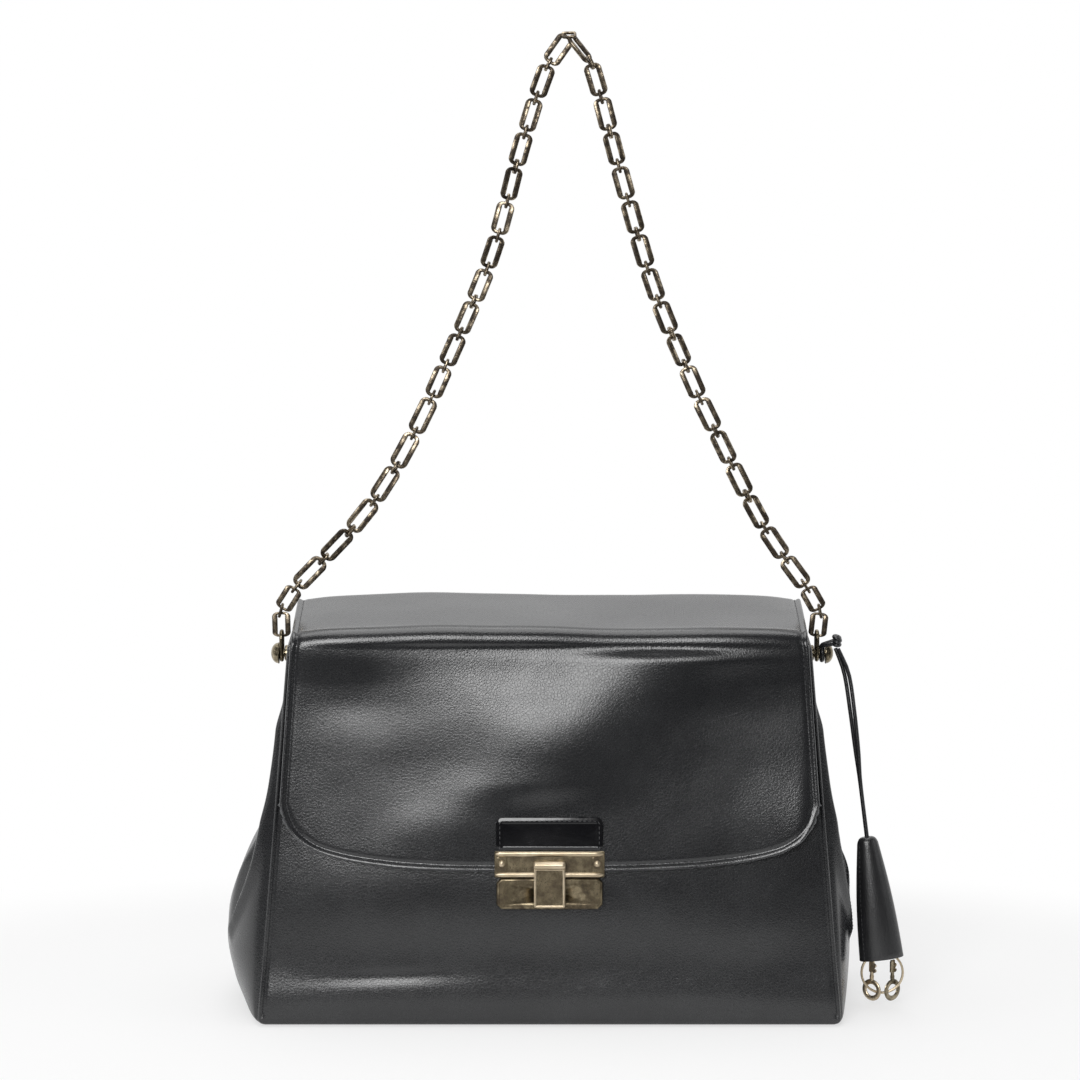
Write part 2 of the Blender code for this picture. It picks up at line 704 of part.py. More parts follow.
def build_lower_plate(bag, frame):
    """The housing on the front panel, open at its back, with two posts that hold the backing plate."""
    outward = Vector((0, -1, 0))
    outline = plate_outline(PLATE_HALF_WIDTH, PLATE_BOTTOM, PLATE_TOP, PLATE_CORNER, RIVET_SHANK_RADIUS, 0)
    block = prism_mesh("block", outline, SEAT_GAP, PLATE_FRONT, outward)
    reach = WALL_THICKNESS + 2 * SEAT_GAP + BACKING_THICKNESS + SEAT_GAP
    posts = [
        rod_mesh("post", POST_RADIUS, (x, -PLATE_WALL - PLATE_WALL, 0), (x, reach, 0), 12)
        for x in (-POST_X, POST_X)
    ]
    plate = bag.add("lock_lower_plate", bag.fused("lock_lower_plate", [block, *posts]), bag.brushed, frame)
    pocket_half = POST_X - POST_RADIUS - PLATE_WALL
    pocket = box_mesh(
        "pocket",
        (-pocket_half, -PLATE_FRONT + PLATE_WALL, PLATE_BOTTOM + PLATE_WALL),
        (pocket_half, CUT_OVERRUN, PLATE_TOP - PLATE_WALL),
    )
    slot = box_mesh(
        "slot",
        (-SLOT_HALF_WIDTH, -PLATE_FRONT - CUT_OVERRUN, SLOT_HEIGHT - SLOT_HALF_HEIGHT),
        (SLOT_HALF_WIDTH, -PLATE_FRONT + PLATE_WALL + CUT_OVERRUN / 4, SLOT_HEIGHT + SLOT_HALF_HEIGHT),
    )
    bag.cut(plate, bag.cutter("housing_pocket", pocket, frame))
    bag.cut(plate, bag.cutter("stud_slot", slot, frame))

    back = WALL_THICKNESS + 2 * SEAT_GAP
    mesh = box_mesh(
        "lock_backing_plate",
        (-BACKING_HALF_WIDTH, back, -BACKING_HALF_HEIGHT),
        (BACKING_HALF_WIDTH, back + BACKING_THICKNESS, BACKING_HALF_HEIGHT),
    )
    backing = bag.add("lock_backing_plate", mesh, bag.steel, frame, smooth=False)
    return plate, backing


def build_catch(bag, frame):
    """A spring strip bent to a U inside the housing, whose two leaves grip the hasp's stud."""
    front = -PLATE_FRONT + PLATE_WALL + SEAT_GAP
    grip = HASP_STUD_RADIUS + RUN_GAP
    width = POST_X / 2
    half_height = SLOT_HALF_HEIGHT
    inner = grip + CATCH_THICKNESS
    outer = inner + CATCH_THICKNESS
    right = [
        (inner, CATCH_DEPTH), (inner, 0), (width, 0), (width, CATCH_THICKNESS), (outer, CATCH_THICKNESS),
        (outer, CATCH_DEPTH + CATCH_THICKNESS),
    ]
    outline = right + [(-x, y) for x, y in reversed(right)]
    points = [Vector((x, front + y, SLOT_HEIGHT)) for x, y in outline]
    mesh = prism_mesh("lock_catch", points, -half_height, half_height)
    return bag.add("lock_catch", mesh, bag.steel, frame, smooth=False)


def flap_front_depth():
    """How far the flap's outer face stands off the front panel."""
    return FLAP_GAP + FLAP_LEATHER + SEAT_GAP + FLAP_LINING


def build_upper_plate(bag, frame):
    """The bar that clamps the flap's edge, with a lip under the edge and a lug for the hasp's pin."""
    back = flap_front_depth() + SEAT_GAP
    front = back + BAR_THICKNESS
    half = BAR_HALF_WIDTH
    section = [
        (-BAR_LIP_BACK, BAR_BOTTOM), (-front, BAR_BOTTOM), (-front, BAR_TOP), (-back, BAR_TOP),
        (-back, BAR_LIP_TOP), (-BAR_LIP_BACK, BAR_LIP_TOP),
    ]
    bar = prism_mesh("bar", [Vector((0, y, z)) for y, z in section], -half, half, Vector((1, 0, 0)))
    pin_y = -front - KNUCKLE_RADIUS - RUN_GAP
    lug = box_mesh(
        "lug",
        (-LUG_HALF_WIDTH, pin_y, KNUCKLE_HEIGHT - KNUCKLE_RADIUS + RUN_GAP),
        (LUG_HALF_WIDTH, -front + BAR_THICKNESS / 2, KNUCKLE_HEIGHT + KNUCKLE_RADIUS - RUN_GAP),
    )
    nose = rod_mesh(
        "nose", KNUCKLE_RADIUS - RUN_GAP, (-LUG_HALF_WIDTH, pin_y, KNUCKLE_HEIGHT),
        (LUG_HALF_WIDTH, pin_y, KNUCKLE_HEIGHT), 16,
    )
    plate = bag.add("lock_upper_plate", bag.fused("lock_upper_plate", [bar, lug, nose]), bag.brushed, frame)
    bore = rod_mesh(
        "bore", PIN_RADIUS + SEAT_GAP, (-half, pin_y, KNUCKLE_HEIGHT), (half, pin_y, KNUCKLE_HEIGHT), 12
    )
    bag.cut(plate, bag.cutter("pin_bore", bore, frame))
    pin = rod_mesh(
        "lock_hasp_pin", PIN_RADIUS, (-HASP_HALF_WIDTH + RUN_GAP, pin_y, KNUCKLE_HEIGHT),
        (HASP_HALF_WIDTH - RUN_GAP, pin_y, KNUCKLE_HEIGHT), 12,
    )
    bag.add("lock_hasp_pin", pin, bag.steel, frame)
    return plate, front, pin_y


def build_hasp(bag, frame, hasp_axis, front, pin_y):
    """The hinged clasp: a plate under a rolled lip, with a round stud behind that enters the housing."""
    back = front + RUN_GAP
    face = back + HASP_THICKNESS
    half = HASP_HALF_WIDTH
    top = KNUCKLE_HEIGHT - KNUCKLE_RADIUS - RUN_GAP
    blade_top = KNUCKLE_HEIGHT - KNUCKLE_RADIUS / 2
    corner = RIVET_SHANK_RADIUS
    outline = plate_outline(half, HASP_BOTTOM, blade_top, corner, corner / 2, 0)
    blade = prism_mesh("blade", outline, back, face, Vector((0, -1, 0)))
    rolls = [
        rod_mesh("roll", KNUCKLE_RADIUS, (a, pin_y, KNUCKLE_HEIGHT), (b, pin_y, KNUCKLE_HEIGHT), 16)
        for a, b in ((-half, -LUG_HALF_WIDTH - RUN_GAP), (LUG_HALF_WIDTH + RUN_GAP, half))
    ]
    stud = rod_mesh(
        "stud", HASP_STUD_RADIUS, (0, -back - HASP_THICKNESS / 2, SLOT_HEIGHT),
        (0, -back + HASP_STUD_REACH, SLOT_HEIGHT), 12,
    )
    mesh = bag.fused("lock_hasp", [blade, *rolls, stud])
    mesh.transform(Matrix.Rotation(-TILT, 4, "X"))
    mesh.transform(Matrix.Translation(frame.matrix_world.translation))
    hasp = bag.add("lock_hasp", mesh, bag.brass, hasp_axis)
    start, end = (-2 * half, pin_y, KNUCKLE_HEIGHT), (2 * half, pin_y, KNUCKLE_HEIGHT)
    bore = rod_mesh("knuckle_bore", KNUCKLE_BORE, start, end, 12)
    window = box_mesh(
        "lug_window",
        (-LUG_HALF_WIDTH - RUN_GAP, -front - 2 * KNUCKLE_RADIUS - CUT_OVERRUN, top),
        (LUG_HALF_WIDTH + RUN_GAP, 0, KNUCKLE_HEIGHT + CUT_OVERRUN),
    )
    for name, solid in (("knuckle_bore", bore), ("lug_window", window)):
        bag.cut(hasp, bag.cutter(name, solid, frame))
    return hasp


def turned_mesh(name, profile, steps=16, closed=False):
    """A profile of (radius, height) pairs turned about Z, from its top to its bottom or closed on itself."""
    edges = [(i, i + 1) for i in range(len(profile) - 1)]
    if closed:
        edges.append((len(profile) - 1, 0))
    mesh = bpy.data.meshes.new(name)
    mesh.from_pydata([(radius, 0, z) for radius, z in profile], edges, [])
    obj = bpy.data.objects.new(name, mesh)
    bpy.context.scene.collection.objects.link(obj)
    spin = obj.modifiers.new("turned", "SCREW")
    spin.steps = steps
    spin.render_steps = steps
    spin.use_merge_vertices = True
    spin.merge_threshold = MERGE_DISTANCE
    whole = bpy.data.meshes.new_from_object(obj.evaluated_get(bpy.context.evaluated_depsgraph_get()))
    bpy.data.objects.remove(obj)
    bm = bmesh.new()
    bm.from_mesh(whole)
    return finished(bm, name)


def build_rivets(bag, frame, front):
    """Two rivets through the bar, the tab's foot and the flap, with a head in front and a tail behind."""
    tail = FLAP_GAP - 2 * SEAT_GAP
    head = RIVET_HEAD_RADIUS
    seat = front + SEAT_GAP
    across, up = RIVET_DOME_SHARES
    profile = [
        (0, seat + RIVET_HEAD_HEIGHT), (head * across, seat + RIVET_HEAD_HEIGHT * up),
        (head, seat), (RIVET_SHANK_RADIUS, seat), (RIVET_SHANK_RADIUS, tail),
        (RIVET_TAIL_RADIUS, tail), (RIVET_TAIL_RADIUS, tail - RIVET_TAIL_HEIGHT),
        (0, tail - RIVET_TAIL_HEIGHT),
    ]
    for name, x in (("lock_rivet_left", -RIVET_X), ("lock_rivet_right", RIVET_X)):
        mesh = turned_mesh(name, profile, 12)
        mesh.transform(Matrix.Translation((x, 0, RIVET_HEIGHT)) @ Matrix.Rotation(math.pi / 2, 4, "X"))
        bag.add(name, mesh, bag.brass, frame)


def build_tab(bag, frame):
    """The patent leather tab above the bar, with an arched top."""
    back = flap_front_depth() + SEAT_GAP
    low = BAR_TOP + SEAT_GAP
    half = TAB_HALF_WIDTH
    corner, cut = TAB_CORNER, TAB_CORNER * TAB_CORNER_SHARE
    arch = mix(TAB_SIDE_TOP, TAB_TOP, TAB_ARCH_SHARE)
    right = [
        (half, TAB_SIDE_TOP - corner), (half - cut, TAB_SIDE_TOP - cut), (half - corner, TAB_SIDE_TOP),
        (half / 2, arch),
    ]
    left = [(-x, z) for x, z in reversed(right)]
    points = [(-half, low), (half, low), *right, (0, TAB_TOP), *left]
    outline = [Vector((x, 0, z)) for x, z in points]
    mesh = prism_mesh("lock_tab", outline, back, back + TAB_THICKNESS, Vector((0, -1, 0)))
    return bag.add("lock_tab", mesh, bag.edge_leather, frame, smooth=False)


def build_lock(bag, fold, front_panel, flap, flap_inner):
    """Both halves of the lock, the holes that their rivets and posts pass through, and the hasp's axis."""
    y = -(half_depth(LOCK_HEIGHT) + PANEL_BELLY)
    fixed = bag.axis("lock_frame", (0, y, LOCK_HEIGHT), None, -TILT)
    carried = bag.axis("flap_lock_frame", (0, y, LOCK_HEIGHT), fold, -TILT)
    plate, backing = build_lower_plate(bag, fixed)
    build_catch(bag, fixed)
    upper, front, pin_y = build_upper_plate(bag, carried)
    build_rivets(bag, carried, front)
    build_tab(bag, carried)
    place = carried.matrix_world @ Vector((0, pin_y, KNUCKLE_HEIGHT))
    hasp_axis = bag.axis("hasp_swing_axis", place, fold)
    build_hasp(bag, carried, hasp_axis, front, pin_y)
    for x in (-POST_X, POST_X):
        start, end = (x, -2 * SEAT_GAP, 0), (x, 2 * CUT_OVERRUN, 0)
        mesh = rod_mesh("post_hole", POST_RADIUS + SEAT_GAP, start, end, 12)
        hole = bag.cutter("post_hole", mesh, fixed)
        bag.cut(front_panel, hole)
        bag.cut(backing, hole)
    for x in (-RIVET_X, RIVET_X):
        start = (x, -CUT_OVERRUN * 4, RIVET_HEIGHT)
        mesh = rod_mesh("rivet_hole", RIVET_SHANK_RADIUS + SEAT_GAP, start, (x, 0, RIVET_HEIGHT), 12)
        hole = bag.cutter("rivet_hole", mesh, carried)
        for obj in (upper, flap, flap_inner):
            bag.cut(obj, hole)


# Studs, eyes and chain

def stud_flange_inner(side):
    """The flange stands clear of the leaning gusset by a seat gap at its lowest point."""
    low = STUD_HEIGHT - STUD_FLANGE_RADIUS
    return gusset_x(side, 0, low) + SEAT_GAP


def neck_start(side):
    return stud_flange_inner(side) + STUD_FLANGE_THICKNESS


def eye_x(side):
    """The middle of the eye along the stud's axis."""
    return neck_start(side) + RUN_GAP + EYE_WIRE / 2


def neck_length(side):
    """The left neck holds the eye alone; the right one holds the fob's loop beside it."""
    length = RUN_GAP + EYE_WIRE + RUN_GAP
    if side > 0:
        length += 2 * LOOP_WIRE + RUN_GAP
    return length


def washer_x(side):
    """The inner face of the gusset at the washer, where the leaning wall comes nearest."""
    return gusset_x(side, 0, STUD_HEIGHT + WASHER_RADIUS) - WALL_THICKNESS - SEAT_GAP


def build_stud(bag, side, gusset):
    """A domed stud with a flange, a neck and a shank, and the washer behind the gusset that holds it."""
    start, neck = neck_start(side), neck_start(side) + neck_length(side)
    end = washer_x(side) - WASHER_THICKNESS
    dome = STUD_DOME_RADIUS
    profile = [(0, neck + STUD_DOME_HEIGHT)]
    for angle in STUD_DOME_ANGLES:
        share = math.radians(angle)
        profile.append((dome * math.sin(share), neck + STUD_DOME_HEIGHT * math.cos(share)))
    seat = start - STUD_FLANGE_THICKNESS
    profile += [
        (dome, neck), (STUD_NECK_RADIUS, neck), (STUD_NECK_RADIUS, start), (STUD_FLANGE_RADIUS, start),
        (STUD_FLANGE_RADIUS, seat), (STUD_SHANK_RADIUS, seat), (STUD_SHANK_RADIUS, end), (0, end),
    ]
    word = "left" if side < 0 else "right"
    mesh = turned_mesh("stud_" + word, profile, 16)
    turn = Matrix.Translation((0, 0, STUD_HEIGHT)) @ Matrix.Rotation(side * math.pi / 2, 4, "Y")
    mesh.transform(turn)
    bag.add("stud_" + word, mesh, bag.brass)

    low = STUD_SHANK_RADIUS + SEAT_GAP
    ring = [(low, washer_x(side)), (WASHER_RADIUS, washer_x(side)), (WASHER_RADIUS, end), (low, end)]
    washer = turned_mesh("washer_" + word, ring, 16, closed=True)
    washer.transform(turn)
    bag.add("washer_" + word, washer, bag.steel)
    inside, outside = side * (end - SEAT_GAP), side * (start + CUT_OVERRUN)
    hole = rod_mesh("stud_hole", low, (inside, 0, STUD_HEIGHT), (outside, 0, STUD_HEIGHT), 16)
    bag.cut(gusset, bag.cutter("stud_hole_" + word, hole))


def chamfered(half_length, half_width, corner):
    """A rectangle with cut corners, as (across, along) pairs."""
    return [
        (half_width, -half_length + corner), (half_width, half_length - corner),
        (half_width - corner, half_length), (-half_width + corner, half_length),
        (-half_width, half_length - corner), (-half_width, -half_length + corner),
        (-half_width + corner, -half_length), (half_width - corner, -half_length),
    ]


def ring_mesh(name, half_length, half_width, corner, section, place, edge_on=False):
    """A closed ring in its own plane, long along Z: the section is pairs of (outwards, across the plane)."""
    shrink = 2 - math.sqrt(2)
    loops = []
    for out, across in section:
        cut = max(corner + out * shrink, corner * CORNER_LEAST_SHARE)
        flat = chamfered(half_length + out, half_width + out, cut)
        loops.append([Vector((across, x, z)) if edge_on else Vector((x, across, z)) for x, z in flat])
    mesh = loft_mesh(name, loops, capped=False)
    mesh.transform(place)
    return mesh


def square_section(size):
    half = size / 2
    return [(half, half), (half, -half), (-half, -half), (-half, half)]


def round_section(radius, sides=6, turn=0.0):
    angles = [2 * math.pi * i / sides + turn for i in range(sides)]
    return [(radius * math.cos(a), radius * math.sin(a)) for a in angles]


def aimed(middle, direction):
    """A frame whose Z runs along a direction in the plane of X and Z."""
    return Matrix.Translation(middle) @ Matrix.Rotation(math.atan2(direction.x, direction.z), 4, "Y")


def link_mesh(start, end, rounded=False):
    """A long flat link between two joints of the chain, with rounded bars where it turns at a fold."""
    direction = (end - start).normalized()
    half = ((end - start).length - LINK_SPACE) / 2 - BAR_WIDTH / 2
    eighth = math.pi / 8
    section = square_section(BAR_WIDTH)
    if rounded:
        section = round_section(BAR_WIDTH / 2 / math.cos(eighth), 8, eighth)
    place = aimed((start + end) / 2, direction)
    return ring_mesh("link", half, LINK_WIDTH / 2 - BAR_WIDTH / 2, LINK_CORNER, section, place)


def connector_mesh(joint, before, after, play, side_play):
    """A small ring, edge on, that is fast on the bar before a joint and loose on the bar after it."""
    direction = (before + after).normalized()
    half = LINK_SPACE / 2 + BAR_WIDTH + (play - CONNECTOR_BITE) / 2 + CONNECTOR_WIRE_RADIUS
    across = BAR_WIDTH / 2 + side_play + CONNECTOR_WIRE_RADIUS
    middle = joint + direction * (play + CONNECTOR_BITE) / 2
    corner = CONNECTOR_WIRE_RADIUS * CONNECTOR_CORNER_SHARE
    section = square_section(2 * CONNECTOR_WIRE_RADIUS)
    return ring_mesh("connector", half, across, corner, section, aimed(middle, direction), edge_on=True)


def low_fold():
    """The height of the lower row of joints."""
    return STUD_HEIGHT + EYE_RISE + LOW_FOLD_RISE


def high_fold():
    """The height of the upper row of joints."""
    return low_fold() + HIGH_FOLD_RISE


def strand_ends(side):
    """The ends of a strand's three stretches, from the eye's top over both folds to the apex."""
    eye = eye_x(side)
    low_x, high_x = eye - LEFT_LOW_FOLD_INSET, LEFT_HIGH_FOLD_X
    if side > 0:
        low_x, high_x = eye - RIGHT_LOW_FOLD_INSET, RIGHT_HIGH_FOLD_X
    return (
        Vector((side * eye, 0, STUD_HEIGHT + EYE_RISE)), Vector((side * low_x, 0, low_fold())),
        Vector((side * high_x, 0, high_fold())), Vector((APEX_X, 0, high_fold() + APEX_RISE)),
    )


def fold_height(joint_height):
    """The middle of the bars that turn in their connectors just above a row of joints."""
    return joint_height + (LINK_SPACE + BAR_WIDTH) / 2 * math.cos(STRAND_LEAN)


def stretch_joints(side, row):
    """The joints of the links along one stretch, at equal lengths."""
    ends = strand_ends(side)
    start, end = ends[row], ends[row + 1]
    shares = (LEFT_STRAND_SHARES if side < 0 else RIGHT_STRAND_SHARES)[row]
    middle = [Vector((mix(start.x, end.x, across), 0, mix(start.z, end.z, up))) for across, up in shares]
    return spaced_line(smooth_line([start, *middle, end], LINE_STEPS), STRETCH_LINKS[row])


def build_strand(bag, side, bodies):
    """One strand's links with their connectors, two links to a node, from the eye to the apex."""
    word = "left" if side < 0 else "right"
    number = 0
    stretches = [stretch_joints(side, row) for row in range(len(STRETCH_LINKS))]
    for row, joints in enumerate(stretches):
        links = list(zip(joints, joints[1:]))
        last_row = row == len(stretches) - 1
        if last_row:
            links, top = links[:-1], links[-1]
        for i in range(0, len(links), LINKS_A_NODE):
            solids = []
            stop = min(i + LINKS_A_NODE, len(links))
            for k in range(i, stop):
                start, end = links[k]
                solids.append(link_mesh(start, end, rounded=k == 0))
                at_fold = k == len(links) - 1 and not last_row
                after = (joints[k + 2] - end) if k + 2 < len(joints) else (stretches[row + 1][1] - end)
                play = FOLD_PLAY if at_fold else CONNECTOR_PLAY
                side_play = FOLD_SIDE_PLAY if at_fold else CONNECTOR_SIDE_PLAY
                if k + 1 < stop:
                    play = -CONNECTOR_BITE
                before = (end - start).normalized()
                solids.append(connector_mesh(end, before, after.normalized(), play, side_play))
            number += 1
            name = f"chain_{word}_{number}"
            bag.add(name, bag.fused(name, solids), bag.brass, bodies[row])
        if last_row:
            return top


def build_apex(bag, tops, body):
    """The last link of each strand and the connector between them, as they lean together at the top."""
    solids = [link_mesh(start, end) for start, end in tops]
    joint = tops[0][1]
    left = (tops[0][1] - tops[0][0]).normalized()
    right = (tops[1][0] - tops[1][1]).normalized()
    solids.append(connector_mesh(joint, left, right, -CONNECTOR_BITE, CONNECTOR_SIDE_PLAY))
    bag.add("chain_apex", bag.fused("chain_apex", solids), bag.brass, body)


def build_eye(bag, side, body):
    """The long eye on a stud's neck, edge on from the front, that holds the strand's first link."""
    word = "left" if side < 0 else "right"
    low = -(STUD_NECK_RADIUS + RUN_GAP)
    high = EYE_RISE + LINK_SPACE / 2 + BAR_WIDTH + SEAT_GAP
    half = (high - low) / 2 + EYE_WIRE / 2
    middle = Vector((side * eye_x(side), 0, STUD_HEIGHT + (high + low) / 2))
    mesh = ring_mesh(
        "strap_eye_" + word, half, EYE_HALF_WIDTH + EYE_WIRE / 2, EYE_WIRE, round_section(EYE_WIRE / 2, 8),
        Matrix.Translation(middle), edge_on=True,
    )
    bag.add("strap_eye_" + word, mesh, bag.brass, body)


# Key fob

def loop_x():
    """The middle of the fob's loop along the right stud's axis."""
    return neck_start(1) + RUN_GAP + EYE_WIRE + RUN_GAP + LOOP_WIRE


def tube_mesh(name, points, radius, sides_resolution=2):
    """A round tube along a line, capped and welded."""
    curve = bpy.data.curves.new(name, "CURVE")
    curve.dimensions = "3D"
    curve.bevel_depth = radius
    curve.bevel_resolution = sides_resolution
    curve.use_fill_caps = True
    spline = curve.splines.new("POLY")
    spline.points.add(len(points) - 1)
    for target, point in zip(spline.points, points):
        target.co = (*point, 1)
    obj = bpy.data.objects.new(name, curve)
    bpy.context.scene.collection.objects.link(obj)
    mesh = bpy.data.meshes.new_from_object(obj.evaluated_get(bpy.context.evaluated_depsgraph_get()))
    bpy.data.objects.remove(obj)
    bm = bmesh.new()
    bm.from_mesh(mesh)
    bmesh.ops.remove_doubles(bm, verts=bm.verts, dist=MERGE_DISTANCE)
    return finished(bm, name)


def fob_place(out, front, drop):
    """A place of the fob, by its distances beyond the gusset's swelling, forwards, and below the knot."""
    return Vector((BASE_HALF_WIDTH + RIGHT_BULGE + out, -front, knot_middle().z - drop))


def bell_top():
    """The middle of the bell's crown."""
    return fob_place(BELL_TOP_OUT, BELL_TOP_FRONT, BELL_TOP_DROP)


def bell_low():
    """The middle of the bell's mouth."""
    return fob_place(BELL_LOW_OUT, BELL_LOW_FRONT, BELL_LOW_DROP)


def ring_middle():
    """The middle of the key ring."""
    return fob_place(RING_OUT, RING_FRONT, RING_DROP)


def bell_line():
    """The direction of the bell's middle line, up."""
    return (bell_top() - bell_low()).normalized()


def lace_route():
    """The lace's points: down from the knot, through the bell, round the key ring, and back up again."""
    half_pair = LACE_RADIUS + SEAT_GAP / 2
    start = knot_middle() - Vector((0, 0, KNOT_HALF_HEIGHT + SEAT_GAP))
    end = bell_top() + bell_line() * BELL_SLIDE
    middle = [start]
    for out, front, down in LACE_RUN_SHARES:
        spot = (mix(start.x, end.x, out), mix(start.y, end.y, front), mix(start.z, end.z, down))
        middle.append(Vector(spot))
    middle += [end, bell_top(), bell_top().lerp(bell_low(), LACE_END_SHARE)]
    down = [point + Vector((0, half_pair, 0)) for point in middle]
    rise = RING_RADIUS + LACE_TURN_RADIUS - LACE_RADIUS - RING_WIRE - RING_PLAY
    centre = ring_middle() + Vector((0, 0, rise))
    turn = []
    for angle in LACE_TURN_ANGLES:
        share = math.radians(angle)
        turn.append(centre + Vector((0, math.cos(share), -math.sin(share))) * LACE_TURN_RADIUS)
    up = [point - Vector((0, half_pair, 0)) for point in reversed(middle)]
    return down + turn + up


def dome_end():
    return neck_start(1) + neck_length(1) + STUD_DOME_HEIGHT


def knot_middle():
    """The middle of the knot, just past the dome, above and in front of it."""
    return Vector((dome_end() + LACE_RADIUS + RUN_GAP, -KNOT_FRONT, STUD_HEIGHT + KNOT_RISE + LACE_RADIUS))


def build_fob(bag, swing, fob, bell_axis):
    """The loop and knot on the stud's neck, the lace, the bell, the ring and the keys."""
    # The loop, and a bight that rises in front of the dome to the knot that holds the lace's ends
    hole = STUD_NECK_RADIUS + RUN_GAP
    reach = hole + LOOP_WIRE
    count = 16
    angles = [2 * math.pi * i / count for i in range(count)]
    centre = Vector((loop_x(), 0, STUD_HEIGHT))
    loops = []
    for out, across in round_section(LOOP_WIRE, 8):
        wide = reach + out
        loops.append([centre + Vector((across, wide * math.cos(a), wide * math.sin(a))) for a in angles])
    loop = loft_mesh("loop", loops, capped=False)
    end = knot_middle()
    lean = Vector((0, -KNOT_FRONT, KNOT_RISE)).normalized()
    bight = tube_mesh("bight", [
        centre + lean * reach, centre + lean * (reach + 2 * LOOP_WIRE),
        Vector(((loop_x() + end.x) / 2, 0, STUD_HEIGHT)) + lean * (reach + BIGHT_REACH),
        end - Vector((LACE_RADIUS, 0, LACE_RADIUS)),
    ], LOOP_WIRE, 1)
    bm = bmesh.new()
    bmesh.ops.create_icosphere(bm, subdivisions=2, radius=1)
    bmesh.ops.scale(bm, vec=(KNOT_HALF_WIDTH, KNOT_HALF_DEPTH, KNOT_HALF_HEIGHT), verts=bm.verts)
    bmesh.ops.translate(bm, vec=end, verts=bm.verts)
    lump = finished(bm, "lump")
    bag.add("fob_knot", bag.fused("fob_knot", [loop, bight, lump]), bag.leather, swing)

    line = smooth_line(lace_route(), LINE_STEPS)
    count = round(line_length(line) / LACE_SPACING)
    bag.add("fob_lace", tube_mesh("fob_lace", spaced_line(line, count), LACE_RADIUS), bag.leather, fob)

    build_bell(bag, bell_axis)

    bpy.ops.mesh.primitive_torus_add(
        major_radius=RING_RADIUS, minor_radius=RING_WIRE, major_segments=24, minor_segments=6
    )
    made = bpy.context.object
    mesh = made.data
    bpy.data.objects.remove(made)
    mesh.transform(Matrix.Translation(ring_middle()) @ Matrix.Rotation(math.pi / 2, 4, "X"))
    bag.add("key_ring", mesh, bag.brass, fob)
    for name, side in (("key_a", -1), ("key_b", 1)):
        build_key(bag, name, side, fob)


def build_bell(bag, axis):
    """The bell: a flattened cone of leather, open below, with a slot in its crown for the lace."""
    turn = Vector((0, 0, 1)).rotation_difference(bell_line()).to_matrix()
    count = 16
    angles = [2 * math.pi * i / count for i in range(count)]

    def oval(half_wide, half_deep, height):
        spots = [Vector((half_wide * math.cos(a), half_deep * math.sin(a), height)) for a in angles]
        return [bell_low() + turn @ spot for spot in spots]

    def skirt(share, inset):
        """The half width and the half depth at a share of the way up."""
        bow = math.sin(math.pi * share) * BELL_BOW - inset
        return mix(wide, BELL_TOP_HALF_WIDTH, share) + bow, mix(deep, BELL_TOP_HALF_DEPTH, share) + bow

    wide, deep = BELL_LOW_HALF_WIDTH, BELL_LOW_HALF_DEPTH
    shoulder = BELL_LENGTH - BELL_CROWN
    loops = [oval(wide - BELL_WALL, deep - BELL_WALL, 0), oval(wide, deep, 0)]
    loops += [oval(*skirt(share, 0), shoulder * share) for share in BELL_ROW_SHARES]
    crown = BELL_CROWN_SHARE
    height = mix(shoulder, BELL_LENGTH, crown)
    loops.append(oval(BELL_TOP_HALF_WIDTH * crown, BELL_TOP_HALF_DEPTH * crown, height))
    loops.append(oval(BELL_HOLE_HALF_DEPTH, BELL_HOLE_HALF_WIDTH, BELL_LENGTH))
    loops.append(oval(BELL_HOLE_HALF_DEPTH, BELL_HOLE_HALF_WIDTH, BELL_LENGTH - BELL_WALL))
    for share in reversed(BELL_ROW_SHARES):
        loops.append(oval(*skirt(share, BELL_WALL), (shoulder - BELL_WALL) * share))
    bag.add("fob_bell", loft_mesh("fob_bell", loops, capped=False), bag.leather, axis)


def build_key(bag, name, side, fob):
    """A flat key whose bow hangs on the ring's foot and whose stem stands up into the bell."""
    count = 14
    half = KEY_THICKNESS / 2
    bow = [Vector((KEY_BOW_RADIUS * math.cos(a), 0, KEY_BOW_RADIUS * math.sin(a)))
           for a in (2 * math.pi * i / count for i in range(count))]
    disc = prism_mesh("bow", bow, -half, half, Vector((0, 1, 0)))
    stem_top = KEY_BOW_RADIUS + KEY_STEM_LENGTH
    wide = KEY_STEM_HALF_WIDTH
    foot = KEY_HOLE_RADIUS + half
    stem_points = [(-wide, foot), (wide, foot)]
    stem_points += [(wide * across, stem_top * up) for across, up in KEY_BIT_SHARES]
    stem = prism_mesh("stem", [Vector((x, 0, z)) for x, z in stem_points], -half, half, Vector((0, 1, 0)))
    place = ring_middle() + Vector((side * math.sin(KEY_HANG), 0, -math.cos(KEY_HANG))) * RING_RADIUS
    turn = Matrix.Translation(place) @ Matrix.Rotation(side * KEY_TURN, 4, "Z")
    mesh = bag.fused(name, [disc, stem])
    mesh.transform(turn)
    key = bag.add(name, mesh, bag.brass, fob, smooth=False)
    hole = rod_mesh("key_hole", KEY_HOLE_RADIUS, (0, -CUT_OVERRUN, 0), (0, CUT_OVERRUN, 0), 12)
    hole.transform(turn)
    bag.cut(key, bag.cutter(name + "_hole", hole))


